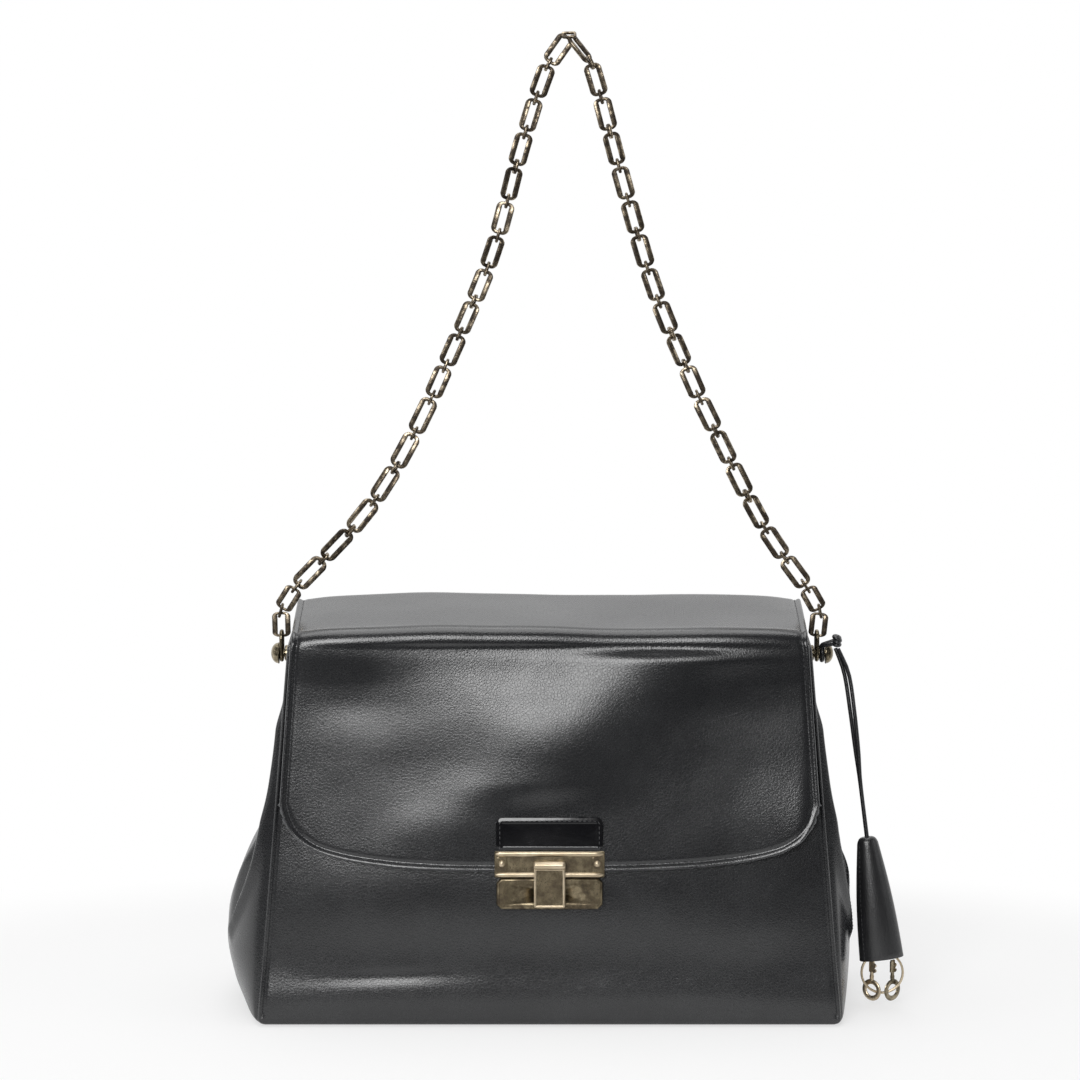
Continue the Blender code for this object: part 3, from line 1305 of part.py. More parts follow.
def main():
    for obj in list(bpy.data.objects):
        bpy.data.objects.remove(obj)
    bag = Bag()
    front_panel = build_panel(bag, "front_panel", -1)
    build_panel(bag, "back_panel", 1)
    gussets = {-1: build_gusset(bag, "gusset_left", -1), 1: build_gusset(bag, "gusset_right", 1)}
    build_base(bag)
    build_lining(bag)

    front_y, fold_z, _, _ = fold_places()
    lift = bag.axis("flap_lift_axis", (0, CREASE_Y, flap_top_z(CREASE_Y)))
    fold = bag.axis("flap_fold_axis", (0, front_y, fold_z), lift)
    flap, flap_inner = build_flap(bag, lift, fold)
    build_lock(bag, fold, front_panel, flap, flap_inner)

    swing = bag.axis("strap_swing_axis", (0, 0, STUD_HEIGHT))
    low_axis = bag.axis("strap_fold_low_axis", (0, 0, fold_height(low_fold())), swing)
    high_axis = bag.axis("strap_fold_high_axis", (0, 0, fold_height(high_fold())), low_axis)
    bodies = (swing, low_axis, high_axis)
    tops = []
    for side in (-1, 1):
        build_stud(bag, side, gussets[side])
        build_eye(bag, side, swing)
        tops.append(build_strand(bag, side, bodies))
    build_apex(bag, tops, high_axis)

    swing = bag.axis("fob_swing_axis", (loop_x(), 0, STUD_HEIGHT))
    hang = bag.axis("fob_out_axis", knot_middle(), swing)
    build_fob(bag, swing, hang, bag.axis("bell_slide_axis", bell_low(), hang))


main()
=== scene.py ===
"""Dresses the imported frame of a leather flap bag: lofted leather, stitches, lock, chain and key fob.

Everything is in metres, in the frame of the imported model: +Z up, the front towards -Y.
"""

from __future__ import annotations

import logging
import math
from dataclasses import dataclass, field
from enum import Enum
from typing import Callable, Iterable, Sequence

import bmesh
import bpy
from mathutils import Euler, Matrix, Vector, noise
from mathutils.kdtree import KDTree

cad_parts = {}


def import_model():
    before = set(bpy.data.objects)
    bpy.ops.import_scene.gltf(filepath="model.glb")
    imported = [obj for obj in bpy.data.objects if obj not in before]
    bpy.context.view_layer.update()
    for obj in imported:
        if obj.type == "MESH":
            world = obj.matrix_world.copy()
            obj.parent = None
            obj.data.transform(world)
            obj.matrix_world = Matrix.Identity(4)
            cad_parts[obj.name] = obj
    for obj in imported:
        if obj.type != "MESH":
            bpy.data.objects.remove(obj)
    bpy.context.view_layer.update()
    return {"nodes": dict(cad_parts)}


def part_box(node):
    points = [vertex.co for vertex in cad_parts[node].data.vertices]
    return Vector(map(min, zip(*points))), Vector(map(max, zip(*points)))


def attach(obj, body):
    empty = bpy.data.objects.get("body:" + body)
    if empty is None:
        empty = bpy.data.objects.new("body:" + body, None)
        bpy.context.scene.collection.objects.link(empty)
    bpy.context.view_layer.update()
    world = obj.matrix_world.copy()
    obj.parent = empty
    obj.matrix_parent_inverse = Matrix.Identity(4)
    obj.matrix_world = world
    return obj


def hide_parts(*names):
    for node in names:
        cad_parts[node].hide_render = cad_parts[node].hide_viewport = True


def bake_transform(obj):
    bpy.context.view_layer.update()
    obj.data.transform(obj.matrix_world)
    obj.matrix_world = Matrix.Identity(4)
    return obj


LOG = logging.getLogger("bag")
Colour = tuple[float, float, float]
Pairs = Sequence[tuple[float, float]]


# Shader maths


class Socket:
    """One output of a material's node tree, which takes part in Python expressions."""

    def __init__(self, tree: MaterialTree, output: bpy.types.NodeSocket) -> None:
        """Wrap an output.

        Args:
            tree: the tree that the output belongs to.
            output: the output itself.
        """
        self.tree = tree
        self.output = output

    def _math(self, operation: str, *values: Socket | float) -> Socket:
        """Add a Math node.

        Args:
            operation: the name of the operation.
            *values: its inputs in order.

        Returns:
            The result.
        """
        settings = {"operation": operation}
        return self.tree.node("ShaderNodeMath", settings, dict(enumerate(values)))

    def __add__(self, other: Socket | float) -> Socket:
        """The sum."""
        return self._math("ADD", self, other)

    __radd__ = __add__

    def __sub__(self, other: Socket | float) -> Socket:
        """The difference."""
        return self._math("SUBTRACT", self, other)

    def __rsub__(self, other: float) -> Socket:
        """The difference, from a number."""
        return self._math("SUBTRACT", other, self)

    def __mul__(self, other: Socket | float) -> Socket:
        """The product."""
        return self._math("MULTIPLY", self, other)

    __rmul__ = __mul__

    def __truediv__(self, other: Socket | float) -> Socket:
        """The quotient."""
        return self._math("DIVIDE", self, other)

    def clamped(self) -> Socket:
        """The value, kept between 0 and 1."""
        return self._math("MINIMUM", self._math("MAXIMUM", self, 0.0), 1.0)

    def between(self, low: float, high: float) -> Socket:
        """A smooth step.

        Args:
            low: where the step starts.
            high: where it ends.

        Returns:
            0 below low, 1 above high, and a smooth rise between them.
        """
        settings = {"interpolation_type": "SMOOTHSTEP", "clamp": True}
        values = {"Value": self, "From Min": low, "From Max": high}
        return self.tree.node("ShaderNodeMapRange", settings, values)

    def sine(self) -> Socket:
        """The sine."""
        return self._math("SINE", self)


class MaterialTree:
    """A material under construction, with one Principled shader."""

    def __init__(self, name: str, **constants: float | Colour) -> None:
        """Start a material.

        Args:
            name: the material's name.
            **constants: values of the shader's own sockets, with spaces in their names as underscores.
        """
        self.material = bpy.data.materials.new(name)
        self.material.use_nodes = True
        self.tree = self.material.node_tree
        self.shader = self.tree.nodes["Principled BSDF"]
        for key, value in constants.items():
            socket = self.shader.inputs[key.replace("_", " ")]
            socket.default_value = (*value, 1.0) if isinstance(value, tuple) else value

    def node(self, kind: str, settings: dict, values: dict, output: int | str = 0) -> Socket:
        """Add any node.

        Args:
            kind: the node's type.
            settings: its own settings, set first.
            values: numbers, colours or sockets for its inputs, by name or index.
            output: which output to give back.

        Returns:
            That output.
        """
        made = self.tree.nodes.new(kind)
        for key, value in settings.items():
            setattr(made, key, value)
        for key, value in values.items():
            if isinstance(value, Socket):
                self.tree.links.new(value.output, made.inputs[key])
            else:
                made.inputs[key].default_value = value
        return Socket(self, made.outputs[output])

    def place(
        self, scale: Sequence[float] = (1.0, 1.0, 1.0), turn: Sequence[float] = (0.0, 0.0, 0.0)
    ) -> Socket:
        """The place on the piece, scaled and turned.

        Args:
            scale: the pattern's scale along each axis.
            turn: its turn about each axis, in radians.

        Returns:
            The coordinates.
        """
        coordinates = self.node("ShaderNodeTexCoord", {}, {}, "Object")
        return self.node("ShaderNodeMapping", {}, {"Vector": coordinates, "Scale": scale, "Rotation": turn})

    def axis(self, place: Socket, letter: str) -> Socket:
        """One of the three parts of a place."""
        return self.node("ShaderNodeSeparateXYZ", {}, {"Vector": place}, letter)

    def noise(self, place: Socket, scale: float, detail: float = 3.0, rough: float = 0.55) -> Socket:
        """Soft noise between 0 and 1.

        Args:
            place: the coordinates.
            scale: how fine it is, in waves a metre.
            detail: how many finer layers it has.
            rough: how strong these are.

        Returns:
            The noise.
        """
        values = {"Vector": place, "Scale": scale, "Detail": detail, "Roughness": rough}
        return self.node("ShaderNodeTexNoise", {}, values)

    def cells(self, place: Socket, scale: float, feature: str = "F1") -> Socket:
        """The distance within cells.

        Args:
            place: the coordinates.
            scale: how many cells there are to a metre.
            feature: which distance it is.

        Returns:
            The distance.
        """
        return self.node("ShaderNodeTexVoronoi", {"feature": feature}, {"Vector": place, "Scale": scale})

    def blend(self, factor: Socket | float, first: Socket | Colour, second: Socket | Colour) -> Socket:
        """Mix two colours.

        Args:
            factor: 0 for the first, 1 for the second.
            first: a colour.
            second: another.

        Returns:
            The mixed colour.
        """
        def full(colour: Socket | Colour) -> Socket | tuple[float, ...]:
            """A colour with its alpha."""
            return colour if isinstance(colour, Socket) else (*colour, 1.0)

        values = {0: factor, 6: full(first), 7: full(second)}
        return self.node("ShaderNodeMix", {"data_type": "RGBA"}, values, 2)

    def link(self, name: str, value: Socket) -> None:
        """Feed one of the shader's sockets."""
        self.tree.links.new(value.output, self.shader.inputs[name])

    def bump(self, height: Socket, distance: float, strength: float = 1.0) -> None:
        """Turn a height into small relief.

        Args:
            height: the height, between 0 and 1.
            distance: how deep that is, in metres.
            strength: how much of it shows.
        """
        values = {"Height": height, "Distance": distance, "Strength": strength}
        self.link("Normal", self.node("ShaderNodeBump", {}, values))


# Finishes


@dataclass(frozen=True)
class Leather:
    """Smooth calf leather with a fine grain, worn a little where it is handled."""

    name: str = "calf_leather"
    deep: Colour = (0.0112, 0.0116, 0.0128)
    worn: Colour = (0.0160, 0.0166, 0.0180)
    roughness: float = 0.23
    roughness_spread: float = 0.04
    grain_scale: float = 1150.0
    grain_depth: float = 0.00009
    specular: float = 0.75

    def build(self) -> bpy.types.Material:
        """The material.

        Returns:
            The finished material.
        """
        tree = MaterialTree(
            self.name, Specular_IOR_Level=self.specular, Sheen_Weight=0.02, Sheen_Roughness=0.45,
            Sheen_Tint=(0.80, 0.86, 0.95),
        )
        place = tree.place()
        clouds = tree.noise(place, 16.0, 4.0, 0.6)
        blotches = tree.noise(place, 62.0, 3.0, 0.6)
        pores = tree.cells(place, self.grain_scale, "F1")
        creases = tree.cells(place, self.grain_scale * 0.55, "DISTANCE_TO_EDGE")
        rubbed = (clouds.between(0.40, 0.66) * 0.65 + blotches.between(0.45, 0.70) * 0.35).clamped()
        tree.link("Base Color", tree.blend(rubbed, self.deep, self.worn))
        rough = self.roughness + (clouds - 0.5) * self.roughness_spread
        rough = rough + (blotches - 0.5) * self.roughness_spread
        tree.link("Roughness", rough + (1.0 - creases.between(0.0, 0.10)) * 0.06)
        grain = pores * 0.45 + creases.between(0.0, 0.22) * 0.40 + tree.noise(place, 2600.0, 2.0) * 0.15
        tree.bump(grain, self.grain_depth, 0.55)
        return tree.material


@dataclass(frozen=True)
class EdgePaintAndHighlight:
    """The painted cut edge of leather: satin, with faint ripples along it. Its grey, lighter than the leather,
    is partly the edge paint's own tone and partly a painted highlight on the rounded rim.
    """

    name: str = "edge_paint_and_highlight"
    # a lighter grey than the leather: partly edge paint, partly a painted highlight where the rounded rim
    # catches the light
    colour: Colour = (0.060, 0.062, 0.066)
    pale: Colour = (0.125, 0.128, 0.132)
    roughness: float = 0.34

    def build(self) -> bpy.types.Material:
        """The material.

        Returns:
            The finished material.
        """
        tree = MaterialTree(self.name, Specular_IOR_Level=0.7)
        place = tree.place()
        ripple = tree.noise(place, 420.0, 3.0, 0.6)
        patches = tree.noise(place, 60.0, 2.0)
        tree.link("Base Color", tree.blend(patches.between(0.38, 0.68), self.colour, self.pale))
        tree.link("Roughness", self.roughness + (ripple - 0.5) * 0.2)
        tree.bump(ripple, 0.00022, 0.5)
        return tree.material


@dataclass(frozen=True)
class PatentLeather:
    """Lacquered leather with hairline scratches and a slight orange-peel surface."""

    name: str = "patent_leather"
    colour: Colour = (0.0045, 0.0045, 0.0055)

    def build(self) -> bpy.types.Material:
        """The material.

        Returns:
            The finished material.
        """
        tree = MaterialTree(self.name, Specular_IOR_Level=0.4, Coat_Weight=0.35, Coat_Roughness=0.06)
        place = tree.place()
        peel = tree.noise(place, 320.0, 2.0)
        hazy = tree.noise(place, 40.0, 4.0, 0.65)
        scratches = tree.noise(tree.place((1.0, 1.0, 16.0), (0.0, 0.35, 0.0)), 260.0, 2.0, 0.5)
        tree.link("Base Color", tree.blend(hazy.between(0.45, 0.75), self.colour, (0.009, 0.009, 0.010)))
        tree.link("Roughness", 0.11 + hazy.between(0.45, 0.80) * 0.08 + scratches.between(0.62, 0.72) * 0.12)
        tree.bump(peel * 0.8 + scratches * 0.2, 0.00010, 0.5)
        return tree.material


class Brushing(Enum):
    """Which way a metal's fine scratches run."""

    NONE = 0
    UPRIGHT = 1


@dataclass(frozen=True)
class AgedBrass:
    """Antique brass: pale gold where it is rubbed, olive brown in patches."""

    name: str
    bright: Colour = (0.40, 0.345, 0.245)
    dull: Colour = (0.19, 0.160, 0.108)
    dark: Colour = (0.060, 0.050, 0.034)
    brushing: Brushing = Brushing.NONE
    patch_scale: float = 150.0
    dark_from: float = 0.50
    dark_to: float = 0.72
    roughness: float = 0.27

    def build(self) -> bpy.types.Material:
        """The material.

        Returns:
            The finished material.
        """
        tree = MaterialTree(self.name)
        place = tree.place()
        patches = tree.noise(place, self.patch_scale, 4.0, 0.62)
        specks = tree.noise(place, self.patch_scale * 6.0, 3.0, 0.6)
        scales = {Brushing.NONE: (1.0, 1.0, 1.0), Brushing.UPRIGHT: (1.0, 1.0, 0.04)}
        brushed = tree.noise(tree.place(scales[self.brushing]), 2400.0, 2.0, 0.7)
        tarnish = (patches * 0.75 + specks * 0.25).between(self.dark_from, self.dark_to)
        warm = tree.blend(patches.between(0.34, 0.56), self.bright, self.dull)
        tree.link("Base Color", tree.blend(tarnish, warm, self.dark))
        tree.link("Metallic", 1.0 - tarnish * 0.22)
        spread = 0.10 if self.brushing is Brushing.NONE else 0.20
        rough = self.roughness + tarnish * 0.20 + (brushed - 0.5) * spread
        tree.link("Roughness", rough + (specks - 0.5) * 0.10)
        depth = 0.00003 if self.brushing is Brushing.NONE else 0.00008
        tree.bump(brushed * 0.7 + specks * 0.3, depth, 0.45)
        return tree.material


@dataclass(frozen=True)
class PlainSteel:
    """Bare steel with a ground finish, for what hides behind the leather."""

    name: str = "plain_steel"

    def build(self) -> bpy.types.Material:
        """The material.

        Returns:
            The finished material.
        """
        tree = MaterialTree(self.name, Metallic=1.0)
        ground = tree.noise(tree.place((0.05, 1.0, 1.0)), 1800.0, 2.0)
        smudges = tree.noise(tree.place(), 90.0, 3.0)
        tree.link("Base Color", tree.blend(smudges, (0.42, 0.42, 0.41), (0.60, 0.60, 0.59)))
        tree.link("Roughness", 0.28 + ground * 0.2)
        tree.bump(ground, 0.00003, 0.4)
        return tree.material


@dataclass(frozen=True)
class LiningCloth:
    """Closely woven lining cloth: two sets of threads that pass over and under each other."""

    name: str = "lining_cloth"
    warp: Colour = (0.110, 0.098, 0.090)
    weft: Colour = (0.070, 0.062, 0.058)
    threads: float = 2100.0

    def build(self) -> bpy.types.Material:
        """The material.

        Returns:
            The finished material.
        """
        tree = MaterialTree(self.name, Specular_IOR_Level=0.25, Sheen_Weight=0.35, Sheen_Roughness=0.4)
        place = tree.place()
        level = tree.axis(place, "Z")
        across = tree.axis(place, "X") + tree.axis(place, "Y") * 0.83
        turns = 2.0 * math.pi * self.threads / 2.0
        warp = ((across * turns).sine() + 1.0) * 0.5
        weft = ((level * turns).sine() + 1.0) * 0.5
        over = ((across * (turns / 2.0)).sine() * (level * (turns / 2.0)).sine()).between(-0.15, 0.15)
        slubs = tree.noise(place, 90.0, 4.0, 0.65)
        tree.link("Base Color", tree.blend((over * 0.7 + slubs * 0.3).clamped(), self.weft, self.warp))
        tree.link("Roughness", 0.72 + slubs * 0.2)
        tree.bump(warp * over + weft * (1.0 - over), 0.00025, 0.7)
        return tree.material


@dataclass(frozen=True)
class SewingThread:
    """Twisted waxed thread."""

    name: str = "sewing_thread"
    colour: Colour = (0.030, 0.030, 0.033)
    pale: Colour = (0.085, 0.086, 0.090)

    def build(self) -> bpy.types.Material:
        """The material.

        Returns:
            The finished material.
        """
        tree = MaterialTree(self.name, Specular_IOR_Level=0.5)
        place = tree.place((1.0, 1.0, 1.0), (0.0, 0.6, 0.5))
        twist = ((tree.axis(place, "X") * 14000.0).sine() + 1.0) * 0.5
        fuzz = tree.noise(place, 900.0, 2.0)
        tree.link("Base Color", tree.blend((twist * 0.5 + fuzz * 0.5).clamped(), self.colour, self.pale))
        tree.link("Roughness", 0.42 + fuzz * 0.25)
        tree.bump(twist, 0.00012, 0.6)
        return tree.material


@dataclass(frozen=True)
class StiffBoard:
    """Fibre board for the base."""

    name: str = "stiff_board"

    def build(self) -> bpy.types.Material:
        """The material.

        Returns:
            The finished material.
        """
        tree = MaterialTree(self.name, Specular_IOR_Level=0.3)
        fibres = tree.noise(tree.place((0.3, 1.0, 1.0)), 700.0, 4.0, 0.7)
        tree.link("Base Color", tree.blend(fibres, (0.17, 0.145, 0.115), (0.28, 0.245, 0.20)))
        tree.link("Roughness", 0.80 + fibres * 0.15)
        tree.bump(fibres, 0.0002, 0.5)
        return tree.material


@dataclass(frozen=True)
class PaleFloor:
    """The studio's floor: it shows the object's shadow, and is plain white where only the camera looks. Far in
    front of the bag its colour turns dark, a painted dark surround that the leather reflects.
    """

    name: str = "studio_floor"
    colour: Colour = (0.90, 0.90, 0.90)
    reach: tuple[float, float] = (0.34, 0.20)
    behind: tuple[float, float] = (-0.25, 0.25)
    ends: tuple[float, float] = (-0.50, -0.33)
    # room: the dark colour far in front, a painted dark surround for reflections and bounced light
    room: Colour = (0.035, 0.035, 0.035)
    near: float = 0.62

    def build(self) -> bpy.types.Material:
        """The material.

        Returns:
            The finished material.
        """
        tree = MaterialTree(self.name, Specular_IOR_Level=0.0)
        place = tree.place()
        dust = tree.noise(place, 3.0, 2.0)
        pale = tree.blend(dust, self.colour, (0.92, 0.92, 0.92))
        # painted dark surround: the base colour turns dark far in front, where the leather's reflections and
        # bounced light come from
        tree.link("Base Color", tree.blend(tree.axis(place, "Y").between(*self.ends), self.room, pale))
        tree.link("Roughness", 0.9 + dust * 0.05)
        across, along = tree.axis(place, "X") / self.reach[0], tree.axis(place, "Y") / self.reach[1]
        away = (across * across + along * along).between(1.0, 2.6)
        looked, mirrored, passed = (
            tree.node("ShaderNodeLightPath", {}, {}, f"Is {kind} Ray")
            for kind in ("Camera", "Glossy", "Transmission")
        )
        behind = tree.axis(place, "Y").between(self.behind[0], self.behind[1])
        seen = (looked + (mirrored + passed) * behind).clamped() * (self.near + away * (1.0 - self.near))
        plain = tree.node("ShaderNodeEmission", {}, {"Color": (1.0, 1.0, 1.0, 1.0), "Strength": 1.0})
        lit = Socket(tree, tree.shader.outputs[0])
        both = tree.node("ShaderNodeMixShader", {}, {0: seen, 1: lit, 2: plain})
        tree.tree.links.new(both.output, tree.tree.nodes["Material Output"].inputs[0])
        return tree.material


@dataclass
class Finishes:
    """Every material of the scene, built once."""

    leather: bpy.types.Material = field(default_factory=lambda: Leather().build())
    edge: bpy.types.Material = field(default_factory=lambda: EdgePaintAndHighlight().build())
    fob_leather: bpy.types.Material = field(default_factory=lambda: Leather(
        "fob_leather", (0.0075, 0.0075, 0.0085), (0.0130, 0.0135, 0.0145), 0.31
    ).build())
    patent: bpy.types.Material = field(default_factory=lambda: PatentLeather().build())
    brass: bpy.types.Material = field(default_factory=lambda: AgedBrass(
        "aged_brass", patch_scale=210.0
    ).build())
    bronze: bpy.types.Material = field(default_factory=lambda: AgedBrass(
        "dark_bronze", (0.40, 0.335, 0.245), (0.150, 0.120, 0.084), (0.042, 0.033, 0.025), patch_scale=260.0,
        dark_from=0.42, dark_to=0.62, roughness=0.30,
    ).build())
    # paler brass for the lock's rims, ends and roll, the rivets, the ring and one key: partly rubbed brass,
    # partly a painted highlight on raised rims
    pale_brass: bpy.types.Material = field(default_factory=lambda: AgedBrass(
        "rubbed_brass_and_highlight", (0.68, 0.58, 0.43), (0.52, 0.43, 0.30), (0.28, 0.225, 0.14), patch_scale=90.0,
        dark_from=0.60, dark_to=0.86, roughness=0.38,
    ).build())
    brushed: bpy.types.Material = field(default_factory=lambda: AgedBrass(
        "brushed_brass", (0.290, 0.240, 0.156), (0.165, 0.134, 0.084), (0.058, 0.044, 0.029),
        Brushing.UPRIGHT, 150.0, 0.42, 0.66, 0.30,
    ).build())
    steel: bpy.types.Material = field(default_factory=lambda: PlainSteel().build())
    cloth: bpy.types.Material = field(default_factory=lambda: LiningCloth().build())
    thread: bpy.types.Material = field(default_factory=lambda: SewingThread().build())
    board: bpy.types.Material = field(default_factory=lambda: StiffBoard().build())


# Shape helpers


def mix(a: float, b: float, share: float) -> float:
    """The value at a share of the way from a to b."""
    return a + (b - a) * share


def ease(share: float) -> float:
    """A smooth step over 0 to 1."""
    share = min(max(share, 0.0), 1.0)
    return share * share * (3.0 - 2.0 * share)


def hill(at: float, middle: float, spread: float) -> float:
    """A smooth hill of height 1."""
    return math.exp(-(((at - middle) / spread) ** 2))


def read_pairs(pairs: Pairs, at: float) -> float:
    """Read a smooth curve through pairs of place and value, which never overshoots them.

    Args:
        pairs: the pairs, by rising place.
        at: the place.

    Returns:
        The value there.
    """
    at = min(max(at, pairs[0][0]), pairs[-1][0])
    k = max(i for i in range(len(pairs) - 1) if pairs[i][0] <= at)
    (x0, y0), (x1, y1) = pairs[k], pairs[k + 1]
    t = (at - x0) / (x1 - x0)
    grades = [(b[1] - a[1]) / (b[0] - a[0]) for a, b in zip(pairs, pairs[1:])]
    slopes = []
    for i in (k, k + 1):
        before, after = grades[max(i - 1, 0)], grades[min(i, len(grades) - 1)]
        level = before * after <= 0
        slopes.append(0.0 if level else 2 * before * after / (before + after) * (x1 - x0))
    rise = y1 - y0
    a = slopes[0] + slopes[1] - 2 * rise
    b = 3 * rise - 2 * slopes[0] - slopes[1]
    return y0 + t * (slopes[0] + t * (b + t * a))


def even_steps(low: float, high: float, count: int) -> list[float]:
    """Values from low to high in equal steps, both ends with them."""
    return [mix(low, high, i / count) for i in range(count + 1)]


def smooth_line(points: Sequence[Vector], steps: int) -> list[Vector]:
    """A smooth curve through points.

    Args:
        points: the points.
        steps: how many steps there are between two of them.

    Returns:
        The curve's points.
    """
    padded = [points[0] * 2 - points[1], *points, points[-1] * 2 - points[-2]]
    line = []
    for a, b, c, d in zip(padded, padded[1:], padded[2:], padded[3:]):
        for step in range(steps):
            t = step / steps
            line.append(
                (b * 2 + (c - a) * t + (a * 2 - b * 5 + c * 4 - d) * t**2 + (b * 3 - a - c * 3 + d) * t**3) / 2
            )
    return [*line, points[-1]]


def line_length(line: Sequence[Vector]) -> float:
    """The length of a line of points."""
    return sum((b - a).length for a, b in zip(line, line[1:]))


def spaced_line(line: Sequence[Vector], count: int) -> list[Vector]:
    """Points at equal lengths along a line.

    Args:
        line: the line.
        count: how many stretches it is cut into.

    Returns:
        The points, both ends with them.
    """
    along = [0.0]
    for a, b in zip(line, line[1:]):
        along.append(along[-1] + (b - a).length)
    found, k = [], 0
    for i in range(count + 1):
        at = along[-1] * i / count
        while k < len(line) - 2 and along[k + 1] < at:
            k += 1
        found.append(line[k].lerp(line[k + 1], (at - along[k]) / (along[k + 1] - along[k])))
    return found


def new_object(name: str, mesh: bpy.types.Mesh, finishes: Sequence[bpy.types.Material]) -> bpy.types.Object:
    """Put a mesh in the scene, smooth, with its materials.

    Args:
        name: the object's name.
        mesh: its mesh, with its place in it.
        finishes: its materials in the order of its slots.

    Returns:
        The object, at the origin.
    """
    mesh.name = name
    if mesh.materials:
        mesh.materials.clear()
    for finish in finishes:
        mesh.materials.append(finish)
    mesh.shade_smooth()
    mesh.set_sharp_from_angle(angle=math.radians(38))
    made = bpy.data.objects.new(name, mesh)
    bpy.context.scene.collection.objects.link(made)
    return made


def mesh_from(bm: bmesh.types.BMesh, recalculate: bool = True) -> bpy.types.Mesh:
    """Make a mesh from a bmesh, with its faces pointing out.

    Args:
        bm: the bmesh, freed by this.
        recalculate: whether its faces are turned to agree.

    Returns:
        The mesh.
    """
    if recalculate:
        bmesh.ops.recalc_face_normals(bm, faces=bm.faces)
        if bm.calc_volume(signed=True) < 0:
            bmesh.ops.reverse_faces(bm, faces=bm.faces)
    mesh = bpy.data.meshes.new("made")
    bm.to_mesh(mesh)
    bm.free()
    return mesh


def skin_loops(
    loops: Sequence[Sequence[Vector]], capped: bool = True, slots: Sequence[int] | None = None
) -> bpy.types.Mesh:
    """Skin closed loops of as many points each.

    Args:
        loops: the loops in order.
        capped: whether the first and the last are filled, or joined to each other.
        slots: the material slot of each band between two loops.

    Returns:
        A closed mesh.
    """
    bm = bmesh.new()
    rings = [[bm.verts.new(point) for point in loop] for loop in loops]
    pairs = list(zip(rings, rings[1:]))
    if not capped:
        pairs.append((rings[-1], rings[0]))
    for band, (low, high) in enumerate(pairs):
        for j in range(len(low)):
            k = (j + 1) % len(low)
            face = bm.faces.new((low[j], low[k], high[k], high[j]))
            face.material_index = slots[band] if slots else 0
    if capped:
        first, last = bm.faces.new(rings[0]), bm.faces.new(rings[-1])
        if slots:
            first.material_index, last.material_index = slots[0], slots[-1]
    return mesh_from(bm)


def joined(meshes: Iterable[bpy.types.Mesh]) -> bpy.types.Mesh:
    """One mesh that holds several closed ones, with their material slots kept."""
    bm = bmesh.new()
    for mesh in meshes:
        bm.from_mesh(mesh)
    return mesh_from(bm, recalculate=False)


def grid_normals(grid: Sequence[Sequence[Vector]]) -> list[list[Vector]]:
    """The normal at each point of a grid whose rows run down and whose columns run right."""
    rows, columns, found = len(grid), len(grid[0]), []
    for i in range(rows):
        up, down = max(i - 1, 0), min(i + 1, rows - 1)
        line = []
        for j in range(columns):
            left, right = max(j - 1, 0), min(j + 1, columns - 1)
            line.append((grid[down][j] - grid[up][j]).cross(grid[i][right] - grid[i][left]).normalized())
        found.append(line)
    return found


def leather_sheet(
    grid: Sequence[Sequence[Vector]], normals: Sequence[Sequence[Vector]], thickness: float,
    flat_rows: Sequence[int] = (), back_slot: int = 0, edge_slot: int = 0,
) -> bpy.types.Mesh:
    """A closed sheet under a grid of points, with a rounded edge all round.

    Args:
        grid: the points of the outer face.
        normals: the grid's normals, which point out.
        thickness: how thick the sheet is.
        flat_rows: the rows whose edge stays flat, because it meets another sheet.
        back_slot: the material slot of the inner face.
        edge_slot: the material slot of the edge.

    Returns:
        The mesh.
    """
    rows, columns, steps = len(grid), len(grid[0]), 5
    bm = bmesh.new()
    outer = [[bm.verts.new(point) for point in row] for row in grid]
    inner = [
        [bm.verts.new(grid[i][j] - normals[i][j] * thickness) for j in range(columns)] for i in range(rows)
    ]
    for i in range(rows - 1):
        for j in range(columns - 1):
            bm.faces.new((outer[i][j], outer[i][j + 1], outer[i + 1][j + 1], outer[i + 1][j]))
            face = bm.faces.new((inner[i][j], inner[i + 1][j], inner[i + 1][j + 1], inner[i][j + 1]))
            face.material_index = back_slot
    rim = [(0, j) for j in range(columns)]
    rim += [(i, columns - 1) for i in range(1, rows)]
    rim += [(rows - 1, j) for j in range(columns - 2, -1, -1)]
    rim += [(i, 0) for i in range(rows - 2, 0, -1)]
    rings = []
    for n, (i, j) in enumerate(rim):
        (a, b), (c, d) = rim[n - 1], rim[(n + 1) % len(rim)]
        outwards = normals[i][j].cross(grid[c][d] - grid[a][b]).normalized()
        within = grid[min(max(i, 1), rows - 2)][min(max(j, 1), columns - 2)]
        if outwards.dot(grid[i][j] - within) < 0:
            outwards = -outwards
        ring = [outer[i][j]]
        for step in range(1, steps):
            angle = math.pi * step / steps
            reach = 0.0 if i in flat_rows else thickness / 2 * math.sin(angle)
            drop = thickness / 2 * (1 - math.cos(angle))
            ring.append(bm.verts.new(grid[i][j] - normals[i][j] * drop + outwards * reach))
        rings.append([*ring, inner[i][j]])
    for ring, following in zip(rings, rings[1:] + rings[:1]):
        for a, b, c, d in zip(ring, following, following[1:], ring[1:]):
            bm.faces.new((a, d, c, b)).material_index = edge_slot
    return mesh_from(bm)


